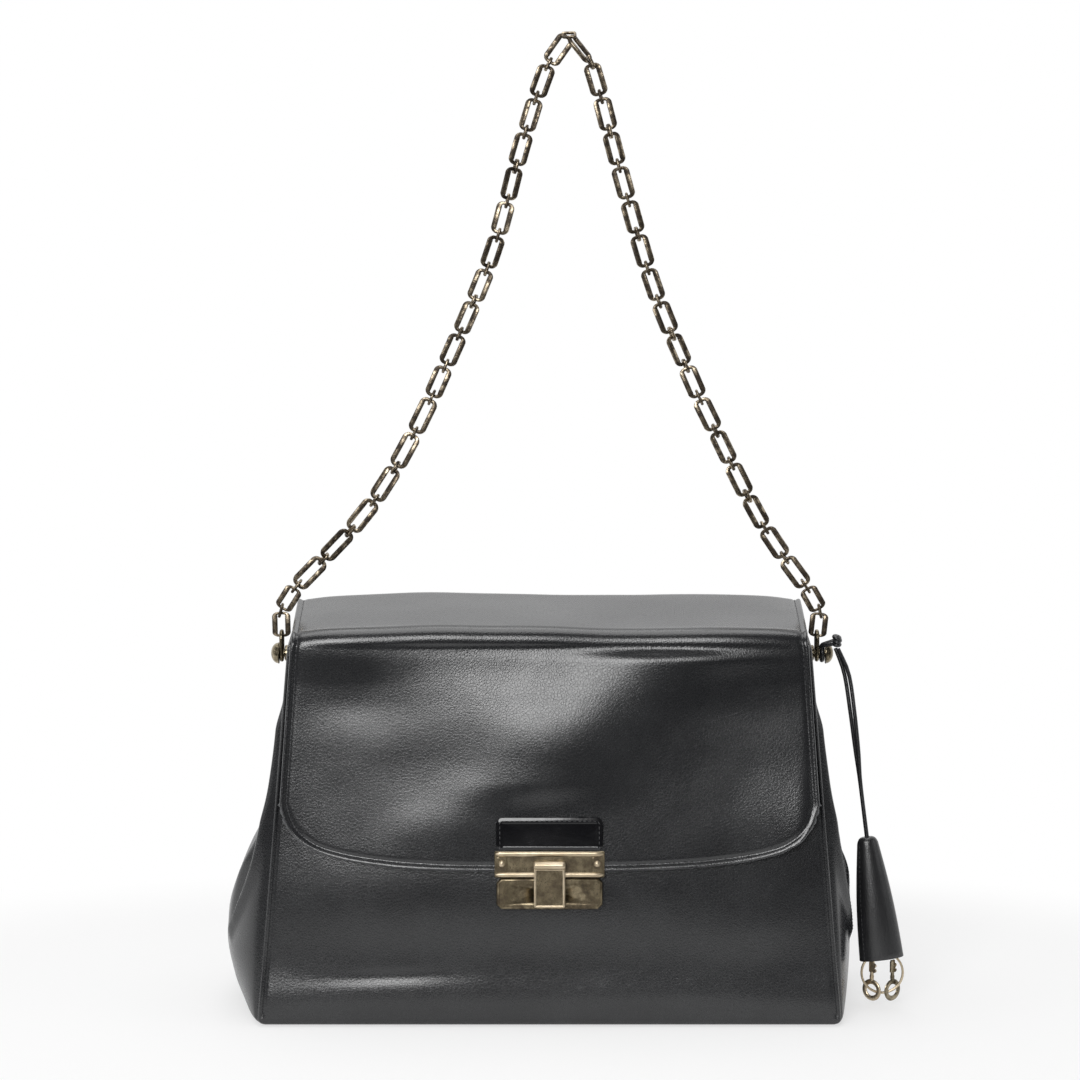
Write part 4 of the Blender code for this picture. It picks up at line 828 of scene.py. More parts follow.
def rounded_outline(
    half_width: float, low: float, high: float, corner: float, steps: int = 5, chamfer: bool = False
) -> list[tuple[float, float]]:
    """A rectangle with rounded or cut corners, anticlockwise from its low right.

    Args:
        half_width: half its width.
        low: its bottom.
        high: its top.
        corner: the size of its corners.
        steps: how many steps each corner has.
        chamfer: whether the corners are cut straight.

    Returns:
        Pairs of across and up.
    """
    corner = max(corner, 1e-5)
    points = []
    centres = (
        (half_width - corner, low + corner, -90), (half_width - corner, high - corner, 0),
        (-half_width + corner, high - corner, 90), (-half_width + corner, low + corner, 180),
    )
    for x, z, start in centres:
        for step in range(steps + 1):
            share = step / steps
            first = math.radians(start)
            if chamfer:
                a = Vector((math.cos(first), math.sin(first)))
                b = Vector((math.cos(first + math.pi / 2), math.sin(first + math.pi / 2)))
                spot = a.lerp(b, share) * corner
            else:
                angle = first + math.pi / 2 * share
                spot = Vector((math.cos(angle), math.sin(angle))) * corner
            points.append((x + spot.x, z + spot.y))
    return points


def tube(
    points: Sequence[Vector], radius: float | Callable[[float], float], sides: int = 12, closed: bool = False,
    flatness: float = 1.0, side_hint: Vector | None = None,
) -> bpy.types.Mesh:
    """A tube along a line, without twist.

    Args:
        points: the line.
        radius: its radius, or a function of the share of the way along.
        sides: how many sides it has.
        closed: whether it joins its own start.
        flatness: its second radius as a share of the first.
        side_hint: the direction that the first radius starts from.

    Returns:
        A closed mesh.
    """
    count = len(points)
    hint = side_hint or Vector((0.0, 1.0, 0.0))
    loops = []
    for i, point in enumerate(points):
        after = points[(i + 1) % count] if closed else points[min(i + 1, count - 1)]
        before = points[i - 1] if closed else points[max(i - 1, 0)]
        along = (after - before).normalized()
        side = (hint - along * hint.dot(along)).normalized()
        up = along.cross(side)
        hint = side
        size = radius(i / (count - 1)) if callable(radius) else radius
        angles = [2 * math.pi * k / sides for k in range(sides)]
        loops.append([point + side * math.cos(a) * size + up * math.sin(a) * size * flatness for a in angles])
    return skin_loops(loops, capped=not closed)


def turned(profile: Pairs, place: Matrix, steps: int = 40) -> bpy.types.Mesh:
    """A profile turned about Z.

    Args:
        profile: pairs of radius and height, the ends on the axis.
        place: where it goes.
        steps: how many steps a turn has.

    Returns:
        A closed mesh.
    """
    bm = bmesh.new()
    ends = [bm.verts.new((0, 0, profile[0][1])), bm.verts.new((0, 0, profile[-1][1]))]
    rings = []
    for radius, height in profile[1:-1]:
        angles = [2 * math.pi * k / steps for k in range(steps)]
        rings.append([bm.verts.new((radius * math.cos(a), radius * math.sin(a), height)) for a in angles])
    for k in range(steps):
        m = (k + 1) % steps
        bm.faces.new((ends[0], rings[0][k], rings[0][m]))
        bm.faces.new((ends[1], rings[-1][m], rings[-1][k]))
        for low, high in zip(rings, rings[1:]):
            bm.faces.new((low[k], high[k], high[m], low[m]))
    mesh = mesh_from(bm)
    mesh.transform(place)
    return mesh


@dataclass(frozen=True)
class BodyForm:
    """The form that the leather of the bag is laid over."""

    base_half_width: float = 0.1606
    mouth_half_width: float = 0.1430
    base_half_depth: float = 0.0620
    mouth_half_depth: float = 0.0380
    front_height: float = 0.2075
    back_height: float = 0.2145
    panel_belly: float = 0.0030
    belly_shares: Pairs = ((0.0, 0.0), (0.15, 0.7), (0.4, 1.0), (0.7, 0.45), (0.84, 0.0), (1.0, 0.0))
    swell: tuple[Pairs, Pairs] = (
        ((0.0, 0.0065), (0.006, 0.0120), (0.019, 0.0190), (0.040, 0.0242), (0.057, 0.0242), (0.080, 0.0222),
         (0.100, 0.0190), (0.125, 0.0120), (0.160, 0.0030), (0.180, 0.0), (0.215, 0.0)),
        ((0.0, 0.0040), (0.012, 0.0075), (0.036, 0.0112), (0.060, 0.0138), (0.085, 0.0155), (0.110, 0.0140),
         (0.135, 0.0090), (0.160, 0.0030), (0.180, 0.0), (0.215, 0.0)),
    )
    fold_depth: Pairs = (
        (0.0, 0.0), (0.046, 0.0), (0.060, 0.0050), (0.080, 0.0125), (0.105, 0.0190), (0.130, 0.0205),
        (0.150, 0.0150), (0.168, 0.0060), (0.182, 0.0), (0.215, 0.0),
    )
    crease_line: Pairs = (
        (0.0, 0.40), (0.042, 0.46), (0.055, 0.62), (0.070, 0.76), (0.088, 0.86), (0.110, 0.91), (0.215, 0.92),
    )
    fold_reach: Pairs = (
        (0.0, 0.02), (0.044, 0.02), (0.060, 0.25), (0.085, 0.58), (0.110, 0.92), (0.130, 1.0), (0.215, 1.0),
    )

    def half_width(self, z: float) -> float:
        """Half the width between the side seams at a height."""
        return mix(self.base_half_width, self.mouth_half_width, z / self.back_height)

    def half_depth(self, z: float) -> float:
        """Half the depth between the walls at a height."""
        return mix(self.base_half_depth, self.mouth_half_depth, z / self.back_height)

    def belly(self, across: float, z: float) -> float:
        """How far a wall swells, by the share across it and the height."""
        crown = 1 - min(abs(across), 1) ** 2
        return self.panel_belly * crown * read_pairs(self.belly_shares, z / self.back_height)

    def tilt(self) -> float:
        """How far the walls lean in, in radians."""
        return math.atan((self.base_half_depth - self.mouth_half_depth) / self.back_height)

    def rim_height(self, depth_share: float) -> float:
        """The mouth's height, which rises from front to back."""
        return mix(self.front_height, self.back_height, (depth_share + 1) / 2)

    def wall_relief(self, front: bool, x: float, z: float) -> float:
        """How far a wall stands off its plain form: a proud base edge, a hollow above it and soft waves.

        Args:
            front: whether it is the front wall.
            x: the place across.
            z: the height.

        Returns:
            The relief, outwards.
        """
        across = min(abs(x) / self.half_width(z), 1.0)
        edge = 1 - across**6
        base = 0.0010 * hill(z, 0.014, 0.012) - 0.0009 * hill(z, 0.038, 0.018) * (0.6 + 0.4 * edge)
        middle = 0.0014 * hill(z, 0.078, 0.026) * edge
        shape = base + middle
        if front:
            crease = (z - 0.0275 - 0.03 * (x + 0.085)) / 0.0035
            shape -= 0.0007 * math.exp(-crease * crease) * hill(x, -0.088, 0.034)
            shape += 0.0010 * hill(x, 0.105, 0.030) * hill(z, 0.050, 0.022)
            shape += 0.0003 * hill(x, -0.095, 0.036) * hill(z, 0.064, 0.020)
        waves = noise.noise(Vector((x * 13.0, 3.1 if front else 8.4, z * 15.0)))
        calm = 1.0 - ease((z - 0.10) / 0.05) * (0.75 if front else 0.2)
        shape += waves * 0.0007 * edge * ease(z / 0.02) * calm
        return shape * ease((self.front_height + 0.002 - z) / 0.02)

    def side_x(self, side: int, depth_share: float, z: float) -> float:
        """The outer face of a side wall, from the middle plane.

        Args:
            side: -1 for the left, 1 for the right.
            depth_share: the share of the half depth, from the front at -1 to the back at 1.
            z: the height.

        Returns:
            The distance.
        """
        u = min(abs(depth_share), 1.0)
        swell = read_pairs(self.swell[0 if side < 0 else 1], z)
        swollen = swell * max(math.cos(math.pi * u / 2), 0.0) ** 0.62
        reach = read_pairs(self.fold_reach, z)
        depth = read_pairs(self.fold_depth, z)
        inside = max(0.0, 1.0 - u / reach)
        crisp = math.sqrt(inside * inside + 0.0009) - 0.03
        folded = depth * crisp
        crease = read_pairs(self.crease_line, z)
        lips = 0.0030 * hill(u, crease, 0.055) - 0.0062 * hill(u, crease - 0.17, 0.095)
        lips *= ease((z - 0.036) / 0.012) * (1 - ease((z - 0.160) / 0.02))
        stretch = 0.0010 * noise.noise(Vector((z * 28.0, depth_share * 2.4, side * 5.0)))
        stretch *= (1 - u**4) * (1 - ease((z - 0.165) / 0.02)) * ease(z / 0.012)
        return self.half_width(z) + swollen - folded + lips + stretch


# Studio


@dataclass
class Studio:
    """The camera at the photograph's viewing angle, a pale floor and plain soft lamps."""

    target: Vector = field(default_factory=lambda: Vector((-0.0052, 0.0, 0.2607)))
    distance: float = 1.9
    elevation: float = math.radians(8)
    lens: float = 113.9
    floor_half: float = 6.0
    world_light: float = 0.30
    room_light: float = 0.10

    def build(self) -> None:
        """Make the camera, the floor, the lamps and the world."""
        camera = bpy.data.cameras.new("camera")
        camera.lens = self.lens
        camera.sensor_width = 36.0
        camera.clip_end = 30.0
        seen_from = bpy.data.objects.new("camera", camera)
        out = Vector((0.0, -math.cos(self.elevation), math.sin(self.elevation)))
        seen_from.location = self.target + out * self.distance
        seen_from.rotation_euler = (-out).to_track_quat("-Z", "Y").to_euler()
        bpy.context.scene.collection.objects.link(seen_from)
        bpy.context.scene.camera = seen_from
        self._floor()
        self._lamps()
        self._world()
        bpy.context.scene.view_settings.view_transform = "Standard"

    def _floor(self) -> None:
        """The floor that the bag stands on, a little below its base."""
        half, level = self.floor_half, -0.0006
        mesh = bpy.data.meshes.new("floor")
        corners = [(-half, -half, level), (half, -half, level), (half, half, level), (-half, half, level)]
        mesh.from_pydata(corners, [], [(0, 1, 2, 3)])
        floor = new_object("studio_floor", mesh, [PaleFloor().build()])

    def _lamps(self) -> None:
        """A key lamp in front and a little left, a broad one overhead and a weak one at each side."""
        middle = Vector((0.0, 0.0, 0.14))
        lamps = (
            ("lamp_key", (-0.44, -1.95, 0.98), 0.98, 27.0, (1.0, 1.0, 1.0)),
            ("lamp_top", (-0.10, 0.10, 1.70), 1.3, 14.0, (1.0, 1.0, 1.0)),
            ("lamp_right", (1.75, -0.60, 0.80), 0.9, 3.0, (0.98, 0.99, 1.0)),
            ("lamp_left", (-1.75, -0.50, 0.70), 0.9, 3.0, (1.0, 1.0, 1.0)),
        )
        for name, place, size, power, colour in lamps:
            lamp = bpy.data.lights.new(name, "AREA")
            lamp.shape = "SQUARE"
            lamp.size = size
            lamp.energy = power
            lamp.color = colour
            hung = bpy.data.objects.new(name, lamp)
            hung.location = place
            hung.rotation_euler = (middle - Vector(place)).to_track_quat("-Z", "Y").to_euler()
            bpy.context.scene.collection.objects.link(hung)

    def _world(self) -> None:
        """White for the camera and behind the bag, dim like a room where reflections look the other way."""
        world = bpy.data.worlds.new("studio")
        world.use_nodes = True
        bpy.context.scene.world = world
        tree = world.node_tree
        tree.nodes.clear()
        make, link = tree.nodes.new, tree.links.new

        def light(strength: float) -> bpy.types.Node:
            """A white background of one strength."""
            made = make("ShaderNodeBackground")
            made.inputs["Color"].default_value = (1.0, 1.0, 1.0, 1.0)
            made.inputs["Strength"].default_value = strength
            return made

        def choose(
            factor: bpy.types.NodeSocket, first: bpy.types.Node, second: bpy.types.Node
        ) -> bpy.types.Node:
            """The first where the factor is 0, the second where it is 1."""
            made = make("ShaderNodeMixShader")
            for place, socket in enumerate((factor, first.outputs[0], second.outputs[0])):
                link(socket, made.inputs[place])
            return made

        rays, white, soft = make("ShaderNodeLightPath"), light(1.0), light(self.world_light)
        way, parts = make("ShaderNodeTexCoord"), make("ShaderNodeSeparateXYZ")
        front = make("ShaderNodeMapRange")
        link(way.outputs["Generated"], parts.inputs[0])
        link(parts.outputs["Y"], front.inputs["Value"])
        front.interpolation_type = "SMOOTHSTEP"
        front.inputs["From Min"].default_value, front.inputs["From Max"].default_value = -0.2, 0.6
        mirrored = choose(front.outputs[0], light(self.room_light), white)
        either = make("ShaderNodeMath")
        either.operation = "MAXIMUM"
        link(rays.outputs["Is Glossy Ray"], either.inputs[0])
        link(rays.outputs["Is Transmission Ray"], either.inputs[1])
        beyond = choose(either.outputs[0], soft, mirrored)
        whole = choose(rays.outputs["Is Camera Ray"], beyond, white)
        link(whole.outputs[0], make("ShaderNodeOutputWorld").inputs[0])


# Body of the bag


@dataclass
class BagBody:
    """The lofted leather shell with its side folds and the lining inside it, above the board on its floor."""

    form: BodyForm
    finishes: Finishes
    wall: float = 0.0022
    base_top: float = 0.0024
    base_rounding: float = 0.0042
    seam_groove: float = 0.0018
    seam_width: float = 0.0012
    seam_rounding: float = 0.0022
    seam_crease: float = 0.0011
    front_columns: int = 124
    side_columns: int = 96
    lining_inset: float = 0.0044
    lining_thickness: float = 0.0008

    def outline(self, z_of: Callable[[float], float], inset: float, groove: bool = True) -> list[Vector]:
        """One closed loop round the body.

        Args:
            z_of: the height for each share of the half depth, which is -1 at the front and 1 at the back.
            inset: how far inside the outer face it runs.
            groove: whether the seams are sunk.

        Returns:
            The points, anticlockwise from the left of the front.
        """
        loop: list[Vector] = []
        for front, sign in ((True, 1), (False, -1)):
            loop += self._wall_points(front, sign, z_of, inset)
            loop += self._side_points(sign, z_of, inset, groove)
        return loop

    def _wall_points(
        self, front: bool, sign: int, z_of: Callable[[float], float], inset: float
    ) -> list[Vector]:
        """The points across the front or the back wall, with rounded ends."""
        form = self.form
        face = -1 if front else 1
        z = z_of(face)
        width = form.half_width(z) - inset
        rounding = self.seam_rounding
        points = []
        for share in even_steps(-1.0, 1.0, self.front_columns):
            x = sign * math.sin(math.pi / 2 * share) * width
            near = max(0.0, (abs(x) - (width - rounding)) / rounding)
            rolled = rounding * (1 - math.sqrt(max(1 - near * near, 0.0)))
            rolled += self.seam_crease * hill(width - abs(x), 0.0026, 0.0009) * ease((z - 0.003) / 0.004)
            depth = form.half_depth(z) + form.belly(x / form.half_width(z), z) + form.wall_relief(front, x, z)
            points.append(Vector((x, face * (depth - inset - rolled), z)))
        return points

    def _side_points(
        self, side: int, z_of: Callable[[float], float], inset: float, groove: bool
    ) -> list[Vector]:
        """The points along a side wall, from its first seam to its second, with a groove at each seam."""
        form, points = self.form, []
        for share in even_steps(-1.0, 1.0, self.side_columns)[1:-1]:
            u = side * (math.sin(math.pi / 2 * share) * 0.55 + share * 0.45)
            z = z_of(u)
            depth = form.half_depth(z) - self.seam_rounding - inset
            x = form.side_x(side, u, z) - inset
            if groove:
                away = (1 - abs(u)) * depth
                x -= self.seam_groove * math.exp(-((away - 0.0004) / self.seam_width) ** 2)
            points.append(Vector((side * x, u * depth, z)))
        return points

    def shell(self) -> bpy.types.Object:
        """The leather body: rolled under at the base, rounded at the rim, and hollow.

        Returns:
            The piece, which stands for the walls, the side folds and the base.
        """
        form, rounding = self.form, self.base_rounding
        loops = [self.outline(lambda u: 0.0, rounding * 0.95, False)]
        for angle in (22, 40, 56, 70, 82, 90):
            a = math.radians(angle)
            loops.append(self.outline(
                lambda u, rise=rounding * (1 - math.cos(a)): rise, rounding * (1 - math.sin(a)), angle > 60
            ))
        rows = [ease(s) * 0.25 + s * 0.75 for s in even_steps(0.0, 1.0, 96)][1:]
        half = self.wall / 2
        for row in rows:
            loops.append(self.outline(lambda u, row=row: mix(rounding, form.rim_height(u) - half, row), 0.0))
        for angle in (45, 90, 135, 180):
            a = math.radians(angle)
            loops.append(self.outline(
                lambda u, rise=half * math.sin(a): form.rim_height(u) - half + rise,
                half * (1 - math.cos(a)), angle < 90,
            ))
        low = self.base_top
        for row in (0.8, 0.6, 0.4, 0.2, 0.0):
            loops.append(self.outline(
                lambda u, row=row: mix(low, form.rim_height(u) - half, row), self.wall, False
            ))
        piece = new_object("bag_shell", skin_loops(loops), [self.finishes.leather])
        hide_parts("front_panel", "back_panel", "gusset_left", "gusset_right", "base_panel")
        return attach(piece, "bag")

    def lining(self) -> bpy.types.Object:
        """The cloth bag inside, open at the top, with a turned hem and soft folds.

        Returns:
            The piece.
        """
        form = self.form
        low = self.base_top + 0.0028
        drop = 0.0016

        def cup(inset: float, floor: float, rows: Sequence[float], folds: bool) -> list[list[Vector]]:
            """One side of the cloth, row by row."""
            loops = []
            for row in rows:
                loop = self.outline(lambda u, row=row: mix(floor, form.rim_height(u) - drop, row), inset, False)
                if folds:
                    loop = [self._softened(point, row) for point in loop]
                loops.append(loop)
            return loops

        rows = even_steps(0.0, 1.0, 48)
        outer = cup(self.lining_inset, low, rows, False)
        inner = cup(self.lining_inset + self.lining_thickness, low + self.lining_thickness, rows[::-1], True)
        piece = new_object("lining_cloth", skin_loops(outer + inner), [self.finishes.cloth])
        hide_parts("lining")
        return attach(piece, "bag")

    def _softened(self, point: Vector, row: float) -> Vector:
        """A point of the cloth's inner face, moved in by its soft folds and its hem."""
        hollow = noise.noise(Vector((point.x * 16.0, point.y * 20.0, point.z * 9.0 + 4.0))) + 0.5
        hem = 0.0005 * (ease((row - 0.925) / 0.01) - ease((row - 0.995) / 0.005))
        inwards = Vector((-point.x / self.form.base_half_width, -point.y / self.form.base_half_depth, 0.0))
        depth = 0.0016 * max(hollow, 0.0) * (1 - row**8) * ease(row / 0.05) + hem
        return point + inwards.normalized() * depth

    def build(self) -> list[bpy.types.Object]:
        """Every piece of the body.

        Returns:
            The pieces.
        """
        return [self.shell(), self.lining()]


# Sewing


def new_tree(name: str, inputs: Sequence[tuple[str, str, float]]) -> tuple[bpy.types.NodeTree, dict[str, str]]:
    """Start a geometry tree with a geometry input and output and other inputs.

    Args:
        name: the tree's name.
        inputs: the name, socket type and default of each other input.

    Returns:
        The tree, and the identifier of each input by its name.
    """
    tree = bpy.data.node_groups.new(name, "GeometryNodeTree")
    tree.interface.new_socket("Geometry", in_out="INPUT", socket_type="NodeSocketGeometry")
    tree.interface.new_socket("Geometry", in_out="OUTPUT", socket_type="NodeSocketGeometry")
    names = {}
    for label, kind, default in inputs:
        socket = tree.interface.new_socket(label, in_out="INPUT", socket_type=kind)
        if default is not None:
            socket.default_value = default
        names[label] = socket.identifier
    return tree, names


class TreeMaker:
    """Adds nodes to a geometry tree in one line each."""

    def __init__(self, tree: bpy.types.NodeTree) -> None:
        """Take a tree and add its group input and output."""
        self.tree = tree
        self.given = tree.nodes.new("NodeGroupInput")
        self.out = tree.nodes.new("NodeGroupOutput")

    def add(self, kind: str, settings: dict, values: dict) -> bpy.types.Node:
        """Add a node.

        Args:
            kind: its type.
            settings: its own settings.
            values: numbers or output sockets for its inputs.

        Returns:
            The node.
        """
        made = self.tree.nodes.new(kind)
        for key, value in settings.items():
            setattr(made, key, value)
        for key, value in values.items():
            if isinstance(value, bpy.types.NodeSocket):
                self.tree.links.new(value, made.inputs[key])
            else:
                made.inputs[key].default_value = value
        return made


def stitch_tree() -> tuple[bpy.types.NodeTree, dict[str, str]]:
    """The tree that lays stitches along lines: it has a pitch, a length, a thickness and a material."""
    tree, names = new_tree("stitches", (
        ("Pitch", "NodeSocketFloat", 0.0032), ("Length", "NodeSocketFloat", 0.0024),
        ("Thickness", "NodeSocketFloat", 0.0006), ("Thread", "NodeSocketMaterial", None),
    ))
    maker = TreeMaker(tree)
    given = maker.given.outputs
    line = maker.add("GeometryNodeMeshToCurve", {}, {"Mesh": given["Geometry"]})
    even = maker.add("GeometryNodeResampleCurve", {"mode": "LENGTH"}, {
        "Curve": line.outputs[0], "Length": given["Pitch"],
    })
    tangent = maker.add("GeometryNodeInputTangent", {}, {})
    turn = maker.add("FunctionNodeAlignRotationToVector", {"axis": "Z"}, {"Vector": tangent.outputs[0]})
    bead = maker.add("GeometryNodeMeshUVSphere", {}, {"Segments": 8, "Rings": 6, "Radius": 0.5})
    size = maker.add("ShaderNodeCombineXYZ", {}, {
        "X": given["Thickness"], "Y": given["Thickness"], "Z": given["Length"],
    })
    shaped = maker.add("GeometryNodeTransform", {}, {
        "Geometry": bead.outputs["Mesh"], "Scale": size.outputs[0],
    })
    laid = maker.add("GeometryNodeInstanceOnPoints", {}, {
        "Points": even.outputs[0], "Instance": shaped.outputs[0], "Rotation": turn.outputs[0],
    })
    real = maker.add("GeometryNodeRealizeInstances", {}, {"Geometry": laid.outputs[0]})
    dressed = maker.add("GeometryNodeSetMaterial", {}, {
        "Geometry": real.outputs[0], "Material": given["Thread"],
    })
    tree.links.new(dressed.outputs[0], maker.out.inputs[0])
    return tree, names


def grown(
    name: str, base: bpy.types.Mesh, tree: bpy.types.NodeTree, names: dict[str, str], values: dict
) -> bpy.types.Mesh:
    """Run a geometry tree on a mesh and keep the result as a plain mesh.

    Args:
        name: the result's name.
        base: the mesh that the tree starts from.
        tree: the tree.
        names: the identifiers of its inputs.
        values: the values of its inputs, by their names.

    Returns:
        The plain mesh.
    """
    carrier = bpy.data.objects.new(name, base)
    bpy.context.scene.collection.objects.link(carrier)
    step = carrier.modifiers.new(name, "NODES")
    step.node_group = tree
    for label, value in values.items():
        step[names[label]] = value
    made = bpy.data.meshes.new_from_object(carrier.evaluated_get(bpy.context.evaluated_depsgraph_get()))
    carrier.modifiers.remove(step)
    bpy.data.objects.remove(carrier)
    return made


@dataclass
class Needle:
    """Sews lines of stitches in one thread."""

    finishes: Finishes
    tree: bpy.types.NodeTree = field(init=False)
    names: dict[str, str] = field(init=False)

    def __post_init__(self) -> None:
        """Build the tree once."""
        self.tree, self.names = stitch_tree()

    def sew(
        self, name: str, lines: Sequence[Sequence[Vector]], pitch: float = 0.0032, thickness: float = 0.00055
    ) -> bpy.types.Object:
        """Lay stitches along lines.

        Args:
            name: the piece's name.
            lines: the lines, on the leather's surface.
            pitch: from one stitch to the next.
            thickness: of the thread.

        Returns:
            The stitches as one piece, which rides on nothing yet.
        """
        points, edges = [], []
        for line in lines:
            start = len(points)
            points += [tuple(point) for point in line]
            edges += [(start + i, start + i + 1) for i in range(len(line) - 1)]
        base = bpy.data.meshes.new(name)
        base.from_pydata(points, edges, [])
        thread = self.finishes.thread
        values = {"Pitch": pitch, "Length": pitch * 0.80, "Thickness": thickness, "Thread": thread}
        return new_object(name, grown(name, base, self.tree, self.names, values), [thread])


# Flap


class Stretch(Enum):
    """The stretches of the flap, from the seam on the back to the edge in front."""

    BACK = "back"
    BACK_BEND = "back bend"
    TOP = "top"
    FRONT_BEND = "front bend"
    FACE = "face"


@dataclass
class Flap:
    """One hide, sewn to the back, that bends over the mouth and hangs in front, lined and stitched."""

    form: BodyForm
    finishes: Finishes
    needle: Needle
    leather: float = 0.0018
    lining: float = 0.0010
    gap: float = 0.0015
    seat: float = 0.0003
    top_front: float = 0.2162
    top_back: float = 0.2230
    rounding: float = 0.0080
    back_half_width: float = 0.1425
    fold_half_width: float = 0.1408
    low_half_width: float = 0.1473
    seam_height: float = 0.1860
    low: float = 0.0864
    side_low: float = 0.1220
    edge_shares: Pairs = (
        (0.0, 0.0), (0.28, 0.01), (0.52, 0.05), (0.70, 0.125), (0.84, 0.25), (0.92, 0.42), (0.975, 0.68),
        (1.0, 1.0),
    )
    split_y: float = -0.0300
    stitch_inset: float = 0.0032
    near_edge: tuple[float, ...] = (
        0.0, 0.0004, 0.0008, 0.0013, 0.0018, 0.0023, 0.0028, 0.0033, 0.0038, 0.0044, 0.0052, 0.0064, 0.0080,
    )
    near_seam: tuple[float, ...] = (
        0.0, 0.0005, 0.0010, 0.0016, 0.0022, 0.0028, 0.0034, 0.0040, 0.0048, 0.0060,
    )
    column_span: float = 0.1450
    row_span: float = 0.1150

    def __post_init__(self) -> None:
        """Work out where the bends are and lay out the edge of the face."""
        self.thick = self.leather + self.seat + self.lining
        self.front_middle = self.top_front - self.rounding
        self.back_middle = self.top_back - self.rounding
        self.front_y = -(self.form.half_depth(self.front_middle) + self.gap + self.thick)
        self.back_y = self.form.half_depth(self.back_middle) + self.seat + self.thick
        self.outline = self._outline()
        from_edge = [Vector((x, 0.0, z)) for x, z in self.outline]
        self.edge = self._tree_of(spaced_line(from_edge, 1400))

    @staticmethod
    def _tree_of(points: Sequence[Vector]) -> object:
        """A tree that finds the nearest of many points."""
        tree = KDTree(len(points))
        for i, point in enumerate(points):
            tree.insert(point, i)
        tree.balance()
        return tree

    def _outline(self) -> list[tuple[float, float]]:
        """The face's edge in x and z, from above the left end of the fold round to above its right end."""
        shares = [math.sin(math.pi / 2 * s) for s in even_steps(-1.0, 1.0, 400)]
        low_line = []
        for share in shares:
            z = self.low_at(share)
            low_line.append((share * self.width_down(z), z))
        high = self.front_middle + 0.03
        left = [(-self.width_down(z), z) for z in even_steps(high, self.side_low, 40)]
        right = [(-x, z) for x, z in reversed(left)]
        return left[:-1] + low_line + right[1:]

    def low_at(self, share: float) -> float:
        """The height of the lower edge, by the share across."""
        return mix(self.low, self.side_low, read_pairs(self.edge_shares, abs(share)))

    def width_down(self, z: float) -> float:
        """Half the width of the face at a height."""
        share = (self.top_front - z) / (self.top_front - self.side_low)
        return mix(self.fold_half_width, self.low_half_width, min(max(share, 0.0), 1.0))

    def width_along(self, y: float) -> float:
        """Half the width of the top at a depth."""
        share = (y - self.front_y) / (self.back_y - self.front_y)
        return mix(self.fold_half_width, self.back_half_width, share)

    def edge_relief(self, away: float) -> float:
        """The bead along the edge and the groove that the stitches pull, by the distance from the edge."""
        flare = 0.0007 * (1 - ease(away / 0.0036))
        groove = 0.00055 * hill(away, self.stitch_inset, 0.00105)
        return flare - groove - 0.0005 * (1 - ease(away / 0.0006))

    def top_relief(self, x: float, y: float) -> float:
        """The soft waves of the top, which stands a little higher left of its middle."""
        across = min(abs(x) / self.back_half_width, 1.0)
        arch = 0.0020 * (1 - across**4) + 0.0011 * hill(x, -0.062, 0.034) - 0.0008 * hill(x, 0.045, 0.028)
        waves = 0.0007 * noise.noise(Vector((x * 24.0, y * 18.0, 2.0)))
        droop = -0.0012 * hill(abs(x), 0.142, 0.012)
        return arch + waves + droop

    def face_relief(self, x: float, z: float) -> float:
        """The swellings and dents of the face, outwards."""
        down = (self.front_middle - z) / (self.front_middle - self.low)
        across = x / self.low_half_width
        fade = ease(down / 0.06) if down > 0 else 0.0
        shoulder = 0.0024 * hill(x, -0.116, 0.032) + 0.0026 * hill(x, 0.110, 0.044)
        shoulder *= 1 - ease((0.2085 - z) / 0.0230)
        dents = -0.0006 * hill(x, -0.105, 0.034) * hill(z, 0.176, 0.0130)
        dents += -0.0006 * hill(x, 0.104, 0.036) * hill(z, 0.175, 0.0130)
        from_ridge = (x - 0.052 + 1.15 * (0.190 - z)) * 0.656
        swells = 0.0034 * math.exp(-((from_ridge / 0.031) ** 2)) * (1 - 0.5 * ease((0.120 - z) / 0.03))
        swells += 0.0040 * hill(x, 0.152, 0.034) * hill(z, 0.108, 0.034)
        swells += 0.0024 * hill(x, -0.020, 0.062) * hill(z, 0.172, 0.024)
        swells += -0.0008 * hill(x, -0.128, 0.018) * hill(z, 0.150, 0.040)
        waves = 0.00030 * noise.noise(Vector((x * 17.0, 1.7, z * 21.0)))
        waves += 0.00012 * noise.noise(Vector((x * 55.0, 5.1, z * 48.0)))
        near_lock = 1 - 0.85 * hill(x, 0.0, 0.040) * ease((0.135 - z) / 0.02)
        side = 1 - ease((abs(across) - 0.93) / 0.07) * 0.6
        return (dents + swells + waves) * fade * near_lock * side + shoulder * side

    def face_y(self, x: float, z: float) -> float:
        """The depth of the outer face at a place, without its edge."""
        form = self.form
        plain = form.half_depth(z) + form.belly(x / form.half_width(z), z) + self.gap + self.thick
        return -(plain + self.face_relief(x, z))

    def from_edge(self, x: float, z: float) -> float:
        """The distance to the face's edge."""
        return self.edge.find(Vector((x, 0.0, z)))[2]

